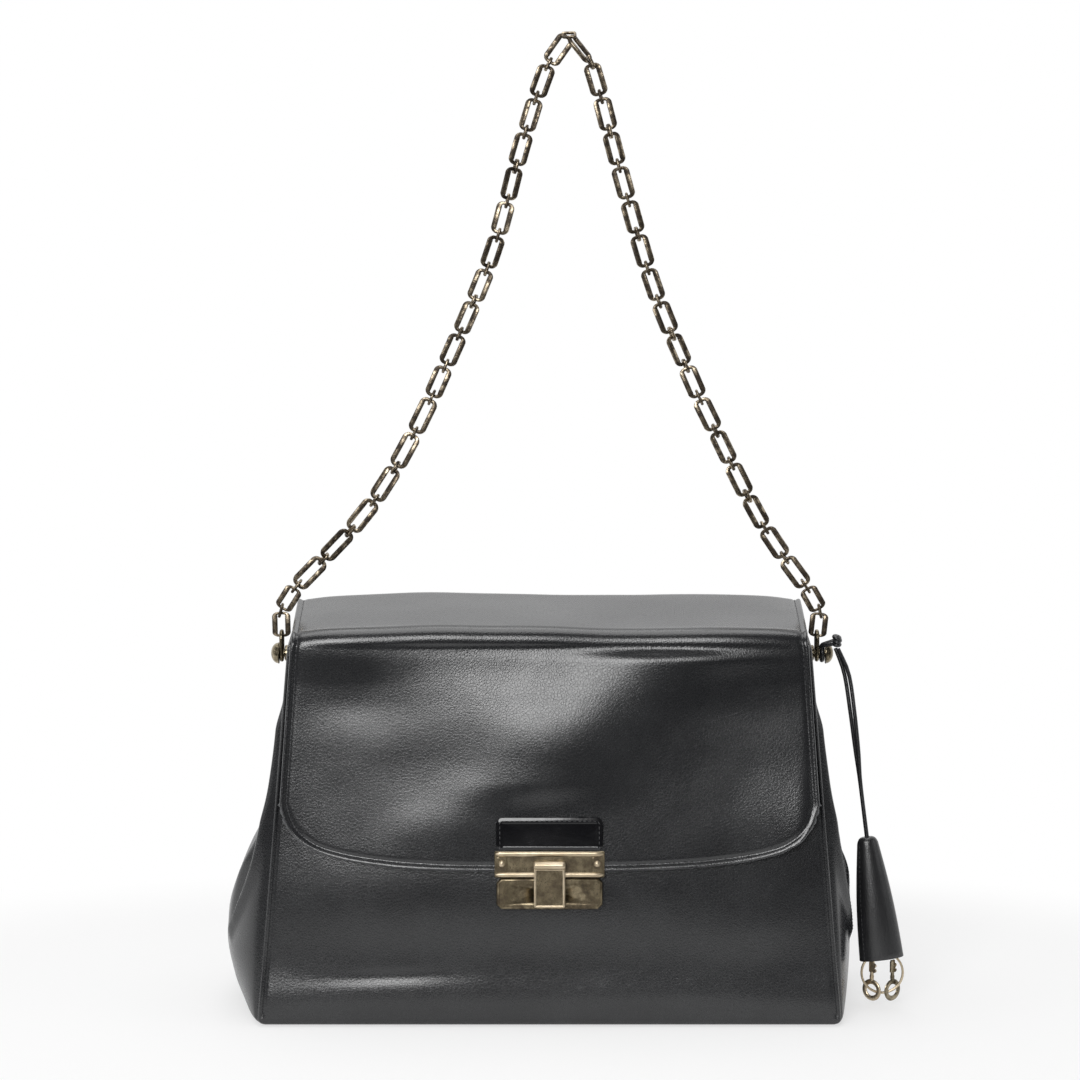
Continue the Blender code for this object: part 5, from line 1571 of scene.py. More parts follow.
    def point(self, stretch: Stretch, at: float, share: float) -> Vector:
        """A point of the outer face.

        Args:
            stretch: the stretch that it lies on.
            at: a height, an angle, a depth or a share of the way down, as the stretch asks.
            share: the share across, from -1 to 1.

        Returns:
            The point.
        """
        if stretch is Stretch.FACE:
            z = mix(self.front_middle, self.low_at(share), at)
            x = share * self.width_down(z)
            return Vector((x, self.face_y(x, z) - self.edge_relief(self.from_edge(x, z)), z))
        if stretch is Stretch.BACK:
            out = Vector((0.0, 1.0, 0.0))
            offset = self.back_y - self.form.half_depth(self.back_middle)
            spot = Vector((0.0, self.form.half_depth(at) + self.form.belly(0.0, at) + offset, at))
        elif stretch is Stretch.BACK_BEND:
            out = Vector((0.0, math.cos(at), math.sin(at)))
            spot = Vector((0.0, self.back_y - self.rounding, self.back_middle)) + out * self.rounding
        elif stretch is Stretch.TOP:
            low_y, high_y = self.front_y + self.rounding, self.back_y - self.rounding
            height = mix(self.top_front, self.top_back, (at - low_y) / (high_y - low_y))
            out = Vector((0.0, 0.0, 1.0))
            spot = Vector((0.0, at, height))
        else:
            out = Vector((0.0, -math.cos(at), math.sin(at)))
            spot = Vector((0.0, self.front_y + self.rounding, self.front_middle)) + out * self.rounding
        x = share * self.width_along(min(max(spot.y, self.front_y), self.back_y))
        lifted = self.top_relief(x, spot.y) * ease((spot.z - 0.2060) / 0.0105)
        away = (1 - abs(share)) * self.back_half_width
        relief = lifted + self.edge_relief(away)
        if stretch is Stretch.FRONT_BEND:
            relief += self.face_relief(x, spot.z) * math.cos(at)
        if stretch is Stretch.BACK:
            at_seam = self.edge_relief(at - self.seam_height)
            relief += at_seam - self.edge_relief(away) * hill(at, self.seam_height, 0.002)
        return Vector((x, spot.y, spot.z)) + out * relief

    def _columns(self) -> list[float]:
        """The shares across, closer together near the edges."""
        half = [1 - away / self.column_span for away in self.near_edge]
        middle = even_steps(0.0, half[-1], 54)
        right = middle + half[-2::-1]
        return [-share for share in reversed(right[1:])] + right

    def _rows(self) -> tuple[list[tuple[Stretch, float]], int]:
        """The rows from the back's seam to the lower edge, and the number of the row where the sheets meet."""
        rows = [(Stretch.BACK, self.seam_height + away) for away in self.near_seam]
        rows += [(Stretch.BACK, z) for z in even_steps(self.seam_height + 0.0085, self.back_middle, 9)]
        rows += [(Stretch.BACK_BEND, math.radians(a)) for a in even_steps(0.0, 90.0, 9)[1:]]
        rows += [(Stretch.TOP, y) for y in even_steps(self.back_y - self.rounding, self.split_y, 26)[1:]]
        split = len(rows) - 1
        rows += [(Stretch.TOP, y) for y in even_steps(self.split_y, self.front_y + self.rounding, 3)[1:]]
        rows += [(Stretch.FRONT_BEND, math.radians(a)) for a in even_steps(90.0, 0.0, 12)[1:-1]]
        last = [1 - away / self.row_span for away in reversed(self.near_edge)]
        rows += [(Stretch.FACE, share) for share in even_steps(0.0, last[0], 56)]
        rows += [(Stretch.FACE, share) for share in last[1:]]
        return rows, split

    def sheets(self) -> list[bpy.types.Object]:
        """The leather and the lining of the top and of the face.

        Returns:
            The four pieces.
        """
        rows, split = self._rows()
        columns = self._columns()
        grid = [[self.point(stretch, at, share) for share in columns] for stretch, at in rows]
        normals = grid_normals(grid)
        pieces = []
        top, face = slice(0, split + 1), slice(split, len(rows))
        leather, edge, cloth = self.finishes.leather, self.finishes.edge, self.finishes.cloth
        inwards = self.leather + 0.00012
        for name, part, flat, nodes in (
            ("flap_top", top, (split,), ("flap_rear", "flap_mid")), ("flap_face", face, (0,), ("flap_front",)),
        ):
            sheet = leather_sheet(grid[part], normals[part], self.leather, flat, 0, 1)
            piece = new_object(name + "_leather", sheet, [leather, edge])
            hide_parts(*nodes)
            under = [
                [point - normal * inwards for point, normal in zip(line[2:-2], across[2:-2])]
                for line, across in zip(grid[part], normals[part])
            ]
            under = under[2:] if part is top else under[:-2]
            beneath = normals[part][2:] if part is top else normals[part][:-2]
            beneath = [across[2:-2] for across in beneath]
            flat = (len(under) - 1,) if part is top else (0,)
            inner = new_object(name + "_cloth", leather_sheet(under, beneath, self.lining, flat), [cloth])
            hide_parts(*(node + "_lining" for node in nodes))
            pieces += [piece, inner]
        return pieces

    def _seam_lines(self) -> tuple[list[list[Vector]], list[list[Vector]]]:
        """The lines of stitches on the top and on the face."""
        rows, split = self._rows()
        share = 1 - self.stitch_inset / self.back_half_width
        sink = 0.0002
        top, face = [], []
        for side in (-1, 1):
            top.append([self.point(s, at, side * share) for s, at in rows[5:split + 1]])
        low = self.seam_height + self.stitch_inset
        top.append([self.point(Stretch.BACK, low, across) for across in even_steps(-share, share, 120)])
        inset = self._inset_outline(self.stitch_inset)
        down = [
            Vector((x, self.face_y(x, z) + 0.00050 + sink, z))
            for x, z in inset if z < self.front_middle - 0.0005
        ]
        start, end = (
            [self.point(s, at, side * share) for s, at in rows[split:] if s is not Stretch.FACE]
            for side in (-1, 1)
        )
        face.append([*start, *down, *reversed(end)])
        return top, face

    def _inset_outline(self, inset: float) -> list[tuple[float, float]]:
        """The face's edge moved inwards."""
        line = [Vector((x, z)) for x, z in self.outline]
        moved = []
        for i, spot in enumerate(line):
            along = line[min(i + 1, len(line) - 1)] - line[max(i - 1, 0)]
            inwards = Vector((-along.y, along.x)).normalized()
            place = spot + inwards * inset
            moved.append((place.x, place.y))
        return moved

    def build(self) -> list[bpy.types.Object]:
        """Every piece of the flap.

        Returns:
            The pieces.
        """
        pieces = self.sheets()
        top, face = self._seam_lines()
        pieces.append(self.needle.sew("flap_top_stitches", top))
        pieces.append(self.needle.sew("flap_face_stitches", face))
        for piece in pieces:
            if piece.name.startswith("flap_top"):
                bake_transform(piece)
            else:
                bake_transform(piece)
        return pieces


# Lock


@dataclass
class Lock:
    """The clasp lock: a housing on the front wall, a bar, a tab and rivets on the flap, and the hasp."""

    form: BodyForm
    finishes: Finishes
    needle: Needle
    height: float = 0.0740
    plate_half_width: float = 0.0290
    plate_low: float = -0.0087
    plate_high: float = 0.0086
    plate_front: float = 0.0063
    bar_half_width: float = 0.0302
    bar_low: float = 0.0089
    bar_high: float = 0.0232
    bar_back: float = 0.0049
    bar_front: float = 0.0069
    lip_back: float = 0.0010
    lip_high: float = 0.0116
    rivet_x: float = 0.0260
    rivet_height: float = 0.0164
    rivet_radius: float = 0.0019
    tab_half_width: float = 0.0292
    tab_low: float = 0.0235
    tab_high: float = 0.0426
    tab_side_high: float = 0.0415
    tab_thickness: float = 0.0016
    hasp_half_width: float = 0.0086
    hasp_low: float = -0.0074
    hasp_back: float = 0.0073
    hasp_front: float = 0.0094
    roll_height: float = 0.0158
    roll_radius: float = 0.0023
    roll_out: float = 0.0094
    slot_height: float = -0.0012
    slot_half_width: float = 0.0032
    slot_half_height: float = 0.0030

    def __post_init__(self) -> None:
        """Work out the lock's own frame, which leans with the front wall."""
        origin = Vector((0.0, -(self.form.half_depth(self.height) + self.form.panel_belly), self.height))
        self.frame = Matrix.Translation(origin) @ Matrix.Rotation(-self.form.tilt(), 4, "X")

    def placed(self, across: float, out: float, up: float) -> Vector:
        """A place in the lock's frame, as a place in the scene."""
        return self.frame @ Vector((across, -out, up))

    def layered(
        self, layers: Sequence[tuple[float, float]], half_width: float, low: float, high: float, corner: float,
        chamfer: bool = False, slots: Sequence[int] | None = None, middle: float = 0.0,
    ) -> bpy.types.Mesh:
        """A plate built up from outlines, each with its own inset and its own distance out.

        Args:
            layers: pairs of inset and distance out, from the back to the recessed field in front.
            half_width: half the plate's width.
            low: its bottom.
            high: its top.
            corner: the size of its corners.
            chamfer: whether these are cut straight.
            slots: the material slot of each band.
            middle: where its middle is across.

        Returns:
            A closed mesh.
        """
        loops = []
        for inset, out in layers:
            flat = rounded_outline(
                half_width - inset, low + inset, high - inset, corner - inset * 0.7, 5, chamfer
            )
            loops.append([self.placed(middle + x, out, z) for x, z in flat])
        return skin_loops(loops, True, slots)

    @staticmethod
    def rimmed(
        back: float, front: float, rim: float, recess: float, bevel: float
    ) -> list[tuple[float, float]]:
        """The layers of a plate with a raised rim round a recessed field."""
        return [
            (bevel * 0.5, back), (0.0, back + bevel * 0.5), (0.0, front - bevel),
            (bevel * 0.3, front - bevel * 0.3), (bevel, front), (rim - bevel * 0.6, front),
            (rim, front - bevel * 0.4), (rim + 0.0002, front - recess), (rim + 0.0006, front - recess),
        ]

    def housing(self) -> bpy.types.Object:
        """The lower plate: a brushed field between pale ends, a bevelled rim, a ridge and the stud's slot.

        Returns:
            The piece.
        """
        back, front = 0.0003, self.plate_front
        bevel = 0.0010
        layers = [
            (0.0003, back), (0.0, back + 0.0003), (0.0, front - bevel * 1.5),
            (bevel * 0.35, front - bevel * 0.45), (bevel, front), (bevel + 0.0005, front),
            (bevel + 0.0007, front - 0.00025), (bevel + 0.0013, front - 0.00025),
        ]
        body = self.layered(layers, self.plate_half_width, self.plate_low, self.plate_high, 0.0027, True)
        ends = []
        for side in (-1, 1):
            pad = self.layered(
                [(0.0, front - 0.0006), (0.0, front + 0.00002), (0.00025, front + 0.00022),
                 (0.0006, front + 0.00022)],
                0.0026, self.plate_low + 0.0021, self.plate_high - 0.0016, 0.0008, False, None, side * 0.0240,
            )
            ends.append(pad)
        ridge = self.layered(
            [(0.0, front - 0.0008), (0.0, front - 0.0001), (0.0003, front + 0.0003), (0.0007, front + 0.0003)],
            self.plate_half_width - 0.0022, self.plate_high - 0.0025, self.plate_high - 0.0002, 0.0005,
        )
        # the ends and the ridge take the paler brass, which is partly a painted highlight
        for mesh in (*ends, ridge):
            for face in mesh.polygons:
                face.material_index = 1
        piece = new_object(
            "lock_housing", joined([body, *ends, ridge]), [self.finishes.brushed, self.finishes.pale_brass]
        )
        self._slot_rim(piece)
        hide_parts("lock_lower_plate")
        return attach(piece, "bag")

    def _slot_rim(self, plate: bpy.types.Object) -> None:
        """Cut the hole that the hasp's stud enters."""
        low, high = self.slot_height - self.slot_half_height, self.slot_height + self.slot_half_height
        through = [(0.0, 0.0012), (0.0, self.plate_front + 0.004)]
        hole = self.layered(through, self.slot_half_width, low, high, 0.0006)
        cutter = new_object("slot_cutter", hole, [self.finishes.brushed])
        step = plate.modifiers.new("slot", "BOOLEAN")
        step.operation, step.solver, step.object = "DIFFERENCE", "EXACT", cutter
        cut = bpy.data.meshes.new_from_object(plate.evaluated_get(bpy.context.evaluated_depsgraph_get()))
        plate.modifiers.remove(step)
        plate.data = cut
        bpy.data.objects.remove(cutter)

    def bar(self) -> bpy.types.Object:
        """The upper bar: pale rolled rims along its top and foot, a sunk brushed field and a lip behind. The
        rims' paler brass is partly a painted highlight.

        Returns:
            The piece.
        """
        back, front = self.bar_back, self.bar_front
        half, low, high = self.bar_half_width, self.bar_low, self.bar_high
        field_front = front - 0.0007
        plate = self.layered(
            [(0.0002, back), (0.0, back + 0.0002), (0.0, field_front - 0.0003), (0.0003, field_front)],
            half - 0.0002, low, high, 0.0008,
        )
        lip = self.layered(
            [(0.0, self.lip_back), (0.0, back + 0.0005)], half - 0.0004, low, self.lip_high, 0.0004,
        )
        rims = []
        for height, thick in ((high - 0.0015, 0.0015), (low + 0.0014, 0.0014)):
            across = even_steps(-half + 0.0006, half - 0.0006, 24)
            line = [self.placed(x, front - 0.0010, height) for x in across]

            def size(share: float, thick: float = thick) -> float:
                """The rim's radius, rounded off at its ends."""
                away = min(share, 1 - share) * 2 * half
                return thick * math.sqrt(max(1 - max(1 - away / 0.0012, 0.0) ** 2, 0.06))

            rims.append(tube(line, size, 14, flatness=0.72, side_hint=Vector((0.0, 0.0, 1.0))))
        collars = []
        for side in (-1, 1):
            collars.append(self.layered(
                [(0.0, field_front - 0.0004), (0.0, field_front + 0.0001), (0.0003, field_front + 0.00035),
                 (0.0008, field_front + 0.00035)],
                0.0030, low + 0.0026, high - 0.0028, 0.0012, False, None, side * self.rivet_x,
            ))
        lug = self.layered(
            [(0.0, front - 0.0012), (0.0, self.roll_out)], 0.0023, self.roll_height - 0.0017,
            self.roll_height + 0.0017, 0.0010,
        )
        # the rims take the paler brass, partly a painted highlight along them
        for mesh in rims:
            for face in mesh.polygons:
                face.material_index = 1
        whole = joined([plate, lip, *rims, *collars, lug])
        piece = new_object("lock_bar", whole, [self.finishes.brushed, self.finishes.pale_brass])
        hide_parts("lock_upper_plate")
        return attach(piece, "flap_face")

    def rivets(self) -> list[bpy.types.Object]:
        """The two domed rivets of the bar, with their tails behind the flap.

        Returns:
            The pieces.
        """
        pieces = []
        head, seat = self.rivet_radius, self.bar_front - 0.0004
        profile = [
            (0.0, seat + 0.00135), (head * 0.35, seat + 0.0013), (head * 0.68, seat + 0.0011),
            (head * 0.9, seat + 0.0007), (head, seat + 0.0003), (head * 0.97, seat), (0.0010, seat),
            (0.0010, 0.0009), (0.0021, 0.0009), (0.0021, 0.0005), (0.0, 0.0004),
        ]
        for word, side in (("left", -1), ("right", 1)):
            place = self.frame @ Matrix.Translation((side * self.rivet_x, 0.0, self.rivet_height))
            mesh = turned(profile, place @ Matrix.Rotation(math.pi / 2, 4, "X"), 24)
            piece = new_object("rivet_" + word, mesh, [self.finishes.pale_brass])
            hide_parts("lock_rivet_" + word)
            pieces.append(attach(piece, "flap_face"))
        return pieces

    def hasp(self) -> bpy.types.Object:
        """The hinged clasp: a rolled lip over a plate with a raised border, and a stud behind.

        Returns:
            The piece.
        """
        back, front = self.hasp_back, self.hasp_front + 0.0004
        half = self.hasp_half_width
        high = self.roll_height - self.roll_radius * 0.55
        # the border's bands take the paler brass (slot 1), partly a painted highlight on it
        blade = self.layered(
            self.rimmed(back, front, 0.0015, 0.0005, 0.0005), half, self.hasp_low, high, 0.0013, False,
            [1, 1, 1, 1, 1, 1, 0, 0, 0, 0],
        )
        line = [self.placed(x, self.roll_out, self.roll_height) for x in even_steps(-half, half, 22)]

        def size(share: float) -> float:
            """The roll's radius, rounded off at its ends."""
            away = min(share, 1 - share) * 2 * half
            near_end = max(1 - away / 0.0008, 0.0)
            return self.roll_radius * (0.80 + 0.20 * math.sqrt(max(1 - near_end ** 2, 0.0)))

        roll = tube(line, size, 24, side_hint=Vector((0.0, 0.0, 1.0)))
        # the roll takes the paler brass too, partly a painted highlight
        for face in roll.polygons:
            face.material_index = 1
        stud = self.layered(
            [(0.0003, back - 0.0017), (0.0, back - 0.0014), (0.0, back + 0.0006)], 0.0015,
            self.slot_height - 0.0015, self.slot_height + 0.0015, 0.00149,
        )
        piece = new_object(
            "lock_clasp", joined([blade, roll, stud]), [self.finishes.brushed, self.finishes.pale_brass]
        )
        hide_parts("lock_hasp")
        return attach(piece, "clasp")

    def tab(self) -> list[bpy.types.Object]:
        """The patent tab above the bar, padded, with an arched top and stitches round it.

        Returns:
            The tab and its stitches.
        """
        half, low, side_high, high = self.tab_half_width, self.tab_low, self.tab_side_high, self.tab_high
        corner = 0.0036

        def outline(inset: float) -> list[tuple[float, float]]:
            """The tab's outline, moved inwards."""
            points = []
            flat = rounded_outline(half - inset, low + inset * 0.6, side_high - inset, corner - inset, 8)
            for x, z in flat:
                arched = z > mix(low, side_high, 0.5)
                rise = (high - side_high) * max(1 - (x / half) ** 2, 0.0) if arched else 0.0
                points.append((x, z + rise))
            return points

        back, front = self.bar_back, self.bar_back + self.tab_thickness
        layers = [
            (0.0003, back), (0.0, back + 0.0004), (0.0, front - 0.0009), (0.0003, front - 0.00045),
            (0.0014, front - 0.00012), (0.0025, front + 0.00005), (0.0031, front - 0.00015),
            (0.0040, front - 0.00025),
        ]
        loops = [[self.placed(x, out, z) for x, z in outline(inset)] for inset, out in layers]
        piece = new_object("lock_patent_tab", skin_loops(loops), [self.finishes.patent])
        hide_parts("lock_tab")
        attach(piece, "flap_face")
        path = [(x, z) for x, z in outline(0.0021) if z > low + 0.0012]
        start = next(i for i, (x, z) in enumerate(path) if x > 0 and z > low)
        ordered = path[start:] + path[:start]
        line = [self.placed(half - 0.0021, front - 0.00012, low + 0.0016)]
        line += [self.placed(x, front - 0.00012, z) for x, z in ordered if z > mix(low, side_high, 0.5)]
        line.append(self.placed(-half + 0.0021, front - 0.00012, low + 0.0016))
        stitches = self.needle.sew("lock_tab_stitches", [line], 0.0027, 0.00045)
        return [piece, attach(stitches, "flap_face")]

    def build(self) -> list[bpy.types.Object]:
        """Every piece of the lock.

        Returns:
            The pieces.
        """
        return [self.housing(), self.bar(), *self.rivets(), self.hasp(), *self.tab()]


# Studs and eyes


@dataclass
class Studs:
    """The two domed studs on the side walls and the long eyes that turn on their necks."""

    finishes: Finishes
    height: float = 0.1970
    eye_x: float = 0.14935
    eye_wire: float = 0.00115
    eye_half_width: float = 0.0040
    eye_low: float = -0.0037
    eye_high: float = 0.0122
    dome_radius: float = 0.0060
    dome_height: float = 0.0047

    def _stud(self, word: str, side: int) -> bpy.types.Object:
        """One stud, turned, with a stepped flange, a neck and a dome with a shallow rim."""
        low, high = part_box("stud_" + word)
        end = max(abs(low.x), abs(high.x))
        shank = min(abs(low.x), abs(high.x))
        seat = end - self.dome_height + 0.0001
        flange = self.eye_x - self.eye_wire - 0.0005
        dome = self.dome_radius
        profile: list[tuple[float, float]] = [(0.0, end)]
        for angle in range(8, 90, 8):
            a = math.radians(angle)
            rise = (self.dome_height - 0.0007) * math.cos(a)
            profile.append((dome * 0.96 * math.sin(a), seat + 0.0006 + rise))
        profile += [
            (dome * 0.97, seat + 0.0006), (dome, seat + 0.0004), (dome * 0.985, seat),
            (dome * 0.9, seat - 0.0001), (0.0022, seat - 0.0001), (0.0022, flange),
            (0.0040, flange - 0.0001), (0.0045, flange - 0.0006), (0.0045, flange - 0.0018),
            (0.0040, flange - 0.0023), (0.0016, flange - 0.0024), (0.0016, shank), (0.0, shank),
        ]
        place = Matrix.Translation((0.0, 0.0, self.height)) @ Matrix.Rotation(side * math.pi / 2, 4, "Y")
        piece = new_object("domed_stud_" + word, turned(profile, place, 40), [self.finishes.brass])
        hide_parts("stud_" + word)
        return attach(piece, "bag")

    def _eye(self, word: str, side: int) -> bpy.types.Object:
        """One eye: a long ring, edge on from the front, a little thicker at its foot."""
        half = (self.eye_high - self.eye_low) / 2
        middle = self.height + (self.eye_high + self.eye_low) / 2
        flat = rounded_outline(self.eye_half_width, -half, half, self.eye_half_width * 0.92, 8)
        line = [Vector((side * self.eye_x, y, middle + z)) for y, z in flat]
        ring = tube(line, self.eye_wire, 12, closed=True, side_hint=Vector((1.0, 0.0, 0.0)))
        piece = new_object("chain_eye_" + word, ring, [self.finishes.brass])
        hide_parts("strap_eye_" + word)
        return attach(piece, "strap_ends")

    def build(self) -> list[bpy.types.Object]:
        """Both studs and both eyes.

        Returns:
            The pieces.
        """
        sides = (("left", -1), ("right", 1))
        return [make(word, side) for make in (self._stud, self._eye) for word, side in sides]


# Chain


def link_tree() -> tuple[bpy.types.NodeTree, dict[str, str]]:
    """The tree that puts a rounded ring at each point, turned and stretched as the point's attributes say."""
    tree, names = new_tree("chain_links", (
        ("Length", "NodeSocketFloat", 0.017), ("Width", "NodeSocketFloat", 0.0082),
        ("Corner", "NodeSocketFloat", 0.0022), ("Bar Width", "NodeSocketFloat", 0.002),
        ("Bar Depth", "NodeSocketFloat", 0.002), ("Bar Rounding", "NodeSocketFloat", 0.0005),
        ("End Share", "NodeSocketFloat", 1.0), ("Metal", "NodeSocketMaterial", None),
    ))
    maker = TreeMaker(tree)
    given = maker.given.outputs
    path = maker.add("GeometryNodeCurvePrimitiveQuadrilateral", {"mode": "RECTANGLE"}, {
        "Width": given["Width"], "Height": given["Length"],
    })
    rounded = maker.add("GeometryNodeFilletCurve", {"mode": "POLY"}, {
        "Curve": path.outputs[0], "Count": 5, "Radius": given["Corner"],
    })
    position = maker.add("GeometryNodeInputPosition", {}, {})
    spot = maker.add("ShaderNodeSeparateXYZ", {}, {"Vector": position.outputs[0]})
    along = maker.add("ShaderNodeMath", {"operation": "ABSOLUTE"}, {0: spot.outputs["Y"]})
    end = maker.add("ShaderNodeMath", {"operation": "MULTIPLY"}, {0: given["Length"], 1: 0.5})
    away = maker.add("ShaderNodeMath", {"operation": "SUBTRACT"}, {0: end.outputs[0], 1: along.outputs[0]})
    stout = maker.add("ShaderNodeMapRange", {}, {
        "Value": away.outputs[0], "From Max": given["Corner"], "To Min": given["End Share"], "To Max": 1.0,
    })
    level = maker.add("GeometryNodeSetCurveNormal", {"mode": "Z_UP"}, {"Curve": rounded.outputs[0]})
    bar = maker.add("GeometryNodeCurvePrimitiveQuadrilateral", {"mode": "RECTANGLE"}, {
        "Width": given["Bar Width"], "Height": given["Bar Depth"],
    })
    soft = maker.add("GeometryNodeFilletCurve", {"mode": "POLY"}, {
        "Curve": bar.outputs[0], "Count": 2, "Radius": given["Bar Rounding"],
    })
    ring = maker.add("GeometryNodeCurveToMesh", {}, {
        "Curve": level.outputs[0], "Profile Curve": soft.outputs[0], "Scale": stout.outputs[0],
    })
    upright = maker.add("GeometryNodeTransform", {}, {
        "Geometry": ring.outputs[0], "Rotation": Euler((math.pi / 2, 0.0, 0.0)),
    })
    turn = maker.add("GeometryNodeInputNamedAttribute", {"data_type": "FLOAT_VECTOR"}, {"Name": "turn"})
    stretch = maker.add("GeometryNodeInputNamedAttribute", {"data_type": "FLOAT_VECTOR"}, {"Name": "stretch"})
    rotation = maker.add("FunctionNodeEulerToRotation", {}, {"Euler": turn.outputs[0]})
    laid = maker.add("GeometryNodeInstanceOnPoints", {}, {
        "Points": given["Geometry"], "Instance": upright.outputs[0], "Rotation": rotation.outputs[0],
        "Scale": stretch.outputs[0],
    })
    real = maker.add("GeometryNodeRealizeInstances", {}, {"Geometry": laid.outputs[0]})
    dressed = maker.add("GeometryNodeSetMaterial", {}, {
        "Geometry": real.outputs[0], "Material": given["Metal"],
    })
    tree.links.new(dressed.outputs[0], maker.out.inputs[0])
    return tree, names


@dataclass(frozen=True)
class Ring:
    """One link or connector of the chain: where it is, how it is turned and how long it is."""

    middle: Vector
    turn: Euler
    length: float
    spread: float = 1.0


@dataclass
class Chain:
    """The chain: long links and small connectors from each eye to the apex, one piece for each body."""

    finishes: Finishes
    pitch: float = 0.0202
    space: float = 0.0012
    bar: float = 0.0020
    width: float = 0.0102
    wire: float = 0.0016
    side_play: float = 0.00035
    growth: float = 1.5
    apex_roll: float = 64.0
    strands: tuple = (
        (
            ((-0.14935, 0.2053), (-0.1500, 0.2200), (-0.1410, 0.2345)),
            ((-0.1410, 0.2345), (-0.1054, 0.2719), (-0.0828, 0.3054), (-0.0652, 0.3400)),
            ((-0.0652, 0.3400), (-0.0327, 0.4159), (-0.0161, 0.4760), (-0.0010, 0.5220), (0.0105, 0.5385)),
        ),
        (
            ((0.14935, 0.2053), (0.1518, 0.2180), (0.1430, 0.2345)),
            ((0.1430, 0.2345), (0.1171, 0.2719), (0.0830, 0.3400)),
            ((0.0830, 0.3400), (0.0580, 0.3994), (0.0386, 0.4650), (0.0225, 0.5235), (0.0105, 0.5385)),
        ),
    )
    rolls: tuple[float, ...] = (14.0, -18.0, 24.0, 6.0, -22.0, -8.0, 20.0, -14.0, 26.0, 10.0, -24.0, 12.0)

    def _joints(self, points: Sequence[tuple[float, float]]) -> list[Vector]:
        """The joints of the links along one stretch."""
        line = smooth_line([Vector((x, 0.0, z)) for x, z in points], 12)
        return spaced_line(line, max(round(line_length(line) / self.pitch), 1))

    @staticmethod
    def _turn(direction: Vector, roll: float) -> Euler:
        """The turn that lays a ring's length along a direction in the plane of X and Z, rolled about it."""
        lean = Matrix.Rotation(math.atan2(direction.x, direction.z), 4, "Y")
        return (lean @ Matrix.Rotation(math.radians(roll), 4, "Z")).to_euler()

    def _rings(self) -> dict[str, tuple[list[Ring], list[Ring]]]:
        """The links and the connectors of each body."""
        bodies = ("strap_ends", "strap_middle", "strap_top")
        found: dict[str, tuple[list[Ring], list[Ring]]] = {body: ([], []) for body in bodies}
        for side, strand in enumerate(self.strands):
            stretches = [self._joints(points) for points in strand]
            for row, (body, joints) in enumerate(zip(bodies, stretches)):
                links, connectors = found[body]
                count = len(joints) - 1
                rolls = [
                    0.0 if i == 0 or i == count - 1 else self.rolls[(i + 5 * side + row) % len(self.rolls)]
                    for i in range(count)
                ]
                if side == 1 and row == 2:
                    rolls[-1] = self.apex_roll
                for i, (start, end) in enumerate(zip(joints, joints[1:])):
                    along = (end - start).normalized()
                    length = (end - start).length - self.space - self.bar
                    links.append(Ring((start + end) / 2, self._turn(along, rolls[i]), length))
                    last = i == count - 1
                    if last and row == 2:
                        if side == 0:
                            other = self._joints(self.strands[1][2])
                            down = (other[-2] - other[-1]).normalized()
                            across = (along + down).normalized()
                            connectors.append(self._connector(end, across, 90.0 + self.apex_roll / 2, 0.0))
                        continue
                    after = joints[i + 2] - end if not last else stretches[row + 1][1] - end
                    bent = (along + after.normalized()).normalized()
                    roll = 0.0 if last else (rolls[i] + rolls[i + 1]) / 2
                    connectors.append(self._connector(end, bent, 90.0 + roll, 0.0007 if last else 0.0))
        return found

    def _connector(self, joint: Vector, direction: Vector, roll: float, play: float) -> Ring:
        """A small ring across two bars, wider where it has play."""
        length = self.space + 2 * self.bar + self.wire + play
        return Ring(joint + direction * play / 2, self._turn(direction, roll), length, 1.22 if play else 1.0)

    def _grown(
        self, name: str, rings: Sequence[Ring], tree: bpy.types.NodeTree, names: dict[str, str], sizes: dict
    ) -> bpy.types.Mesh:
        """The mesh of one kind of ring.

        Args:
            name: its name.
            rings: where the rings are.
            tree: the link tree.
            names: the identifiers of its inputs.
            sizes: the sizes of this kind.

        Returns:
            The mesh.
        """
        base = bpy.data.meshes.new(name)
        base.from_pydata([tuple(ring.middle) for ring in rings], [], [])
        turn = base.attributes.new("turn", "FLOAT_VECTOR", "POINT")
        stretch = base.attributes.new("stretch", "FLOAT_VECTOR", "POINT")
        for i, ring in enumerate(rings):
            turn.data[i].vector = ring.turn
            stretch.data[i].vector = (ring.spread, 1.0, ring.length / sizes["Length"])
        return grown(name, base, tree, names, {**sizes, "Metal": self.finishes.bronze})

    def build(self) -> list[bpy.types.Object]:
        """The chain, one piece for each body.

        Returns:
            The pieces.
        """
        tree, names = link_tree()
        nodes = {
            "strap_ends": ("chain_left_1", "chain_right_1"),
            "strap_middle": tuple(f"chain_{word}_{i}" for word in ("left", "right") for i in (2, 3, 4)),
            "strap_top": (
                *(f"chain_{word}_{i}" for word in ("left", "right") for i in (5, 6, 7, 8, 9)), "chain_apex",
            ),
        }
        long = {
            "Length": self.pitch - self.space - self.bar, "Width": self.width - self.bar * self.growth,
            "Corner": 0.0022, "Bar Width": self.bar * self.growth, "Bar Depth": self.bar,
            "Bar Rounding": 0.00060, "End Share": 1 / self.growth,
        }
        small = {
            "Length": self.space + 2 * self.bar + self.wire,
            "Width": self.bar + 2 * self.side_play + self.wire, "Corner": 0.0012, "Bar Width": self.wire,
            "Bar Depth": self.wire, "Bar Rounding": 0.00060, "End Share": 1.0,
        }
        pieces = []
        for body, (links, connectors) in self._rings().items():
            meshes = [
                self._grown(body + "_links", links, tree, names, long),
                self._grown(body + "_connectors", connectors, tree, names, small),
            ]
            piece = new_object("chain_" + body, mesh_turned_out(joined(meshes)), [self.finishes.bronze])
            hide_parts(*nodes[body])
            pieces.append(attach(piece, body))
        return pieces


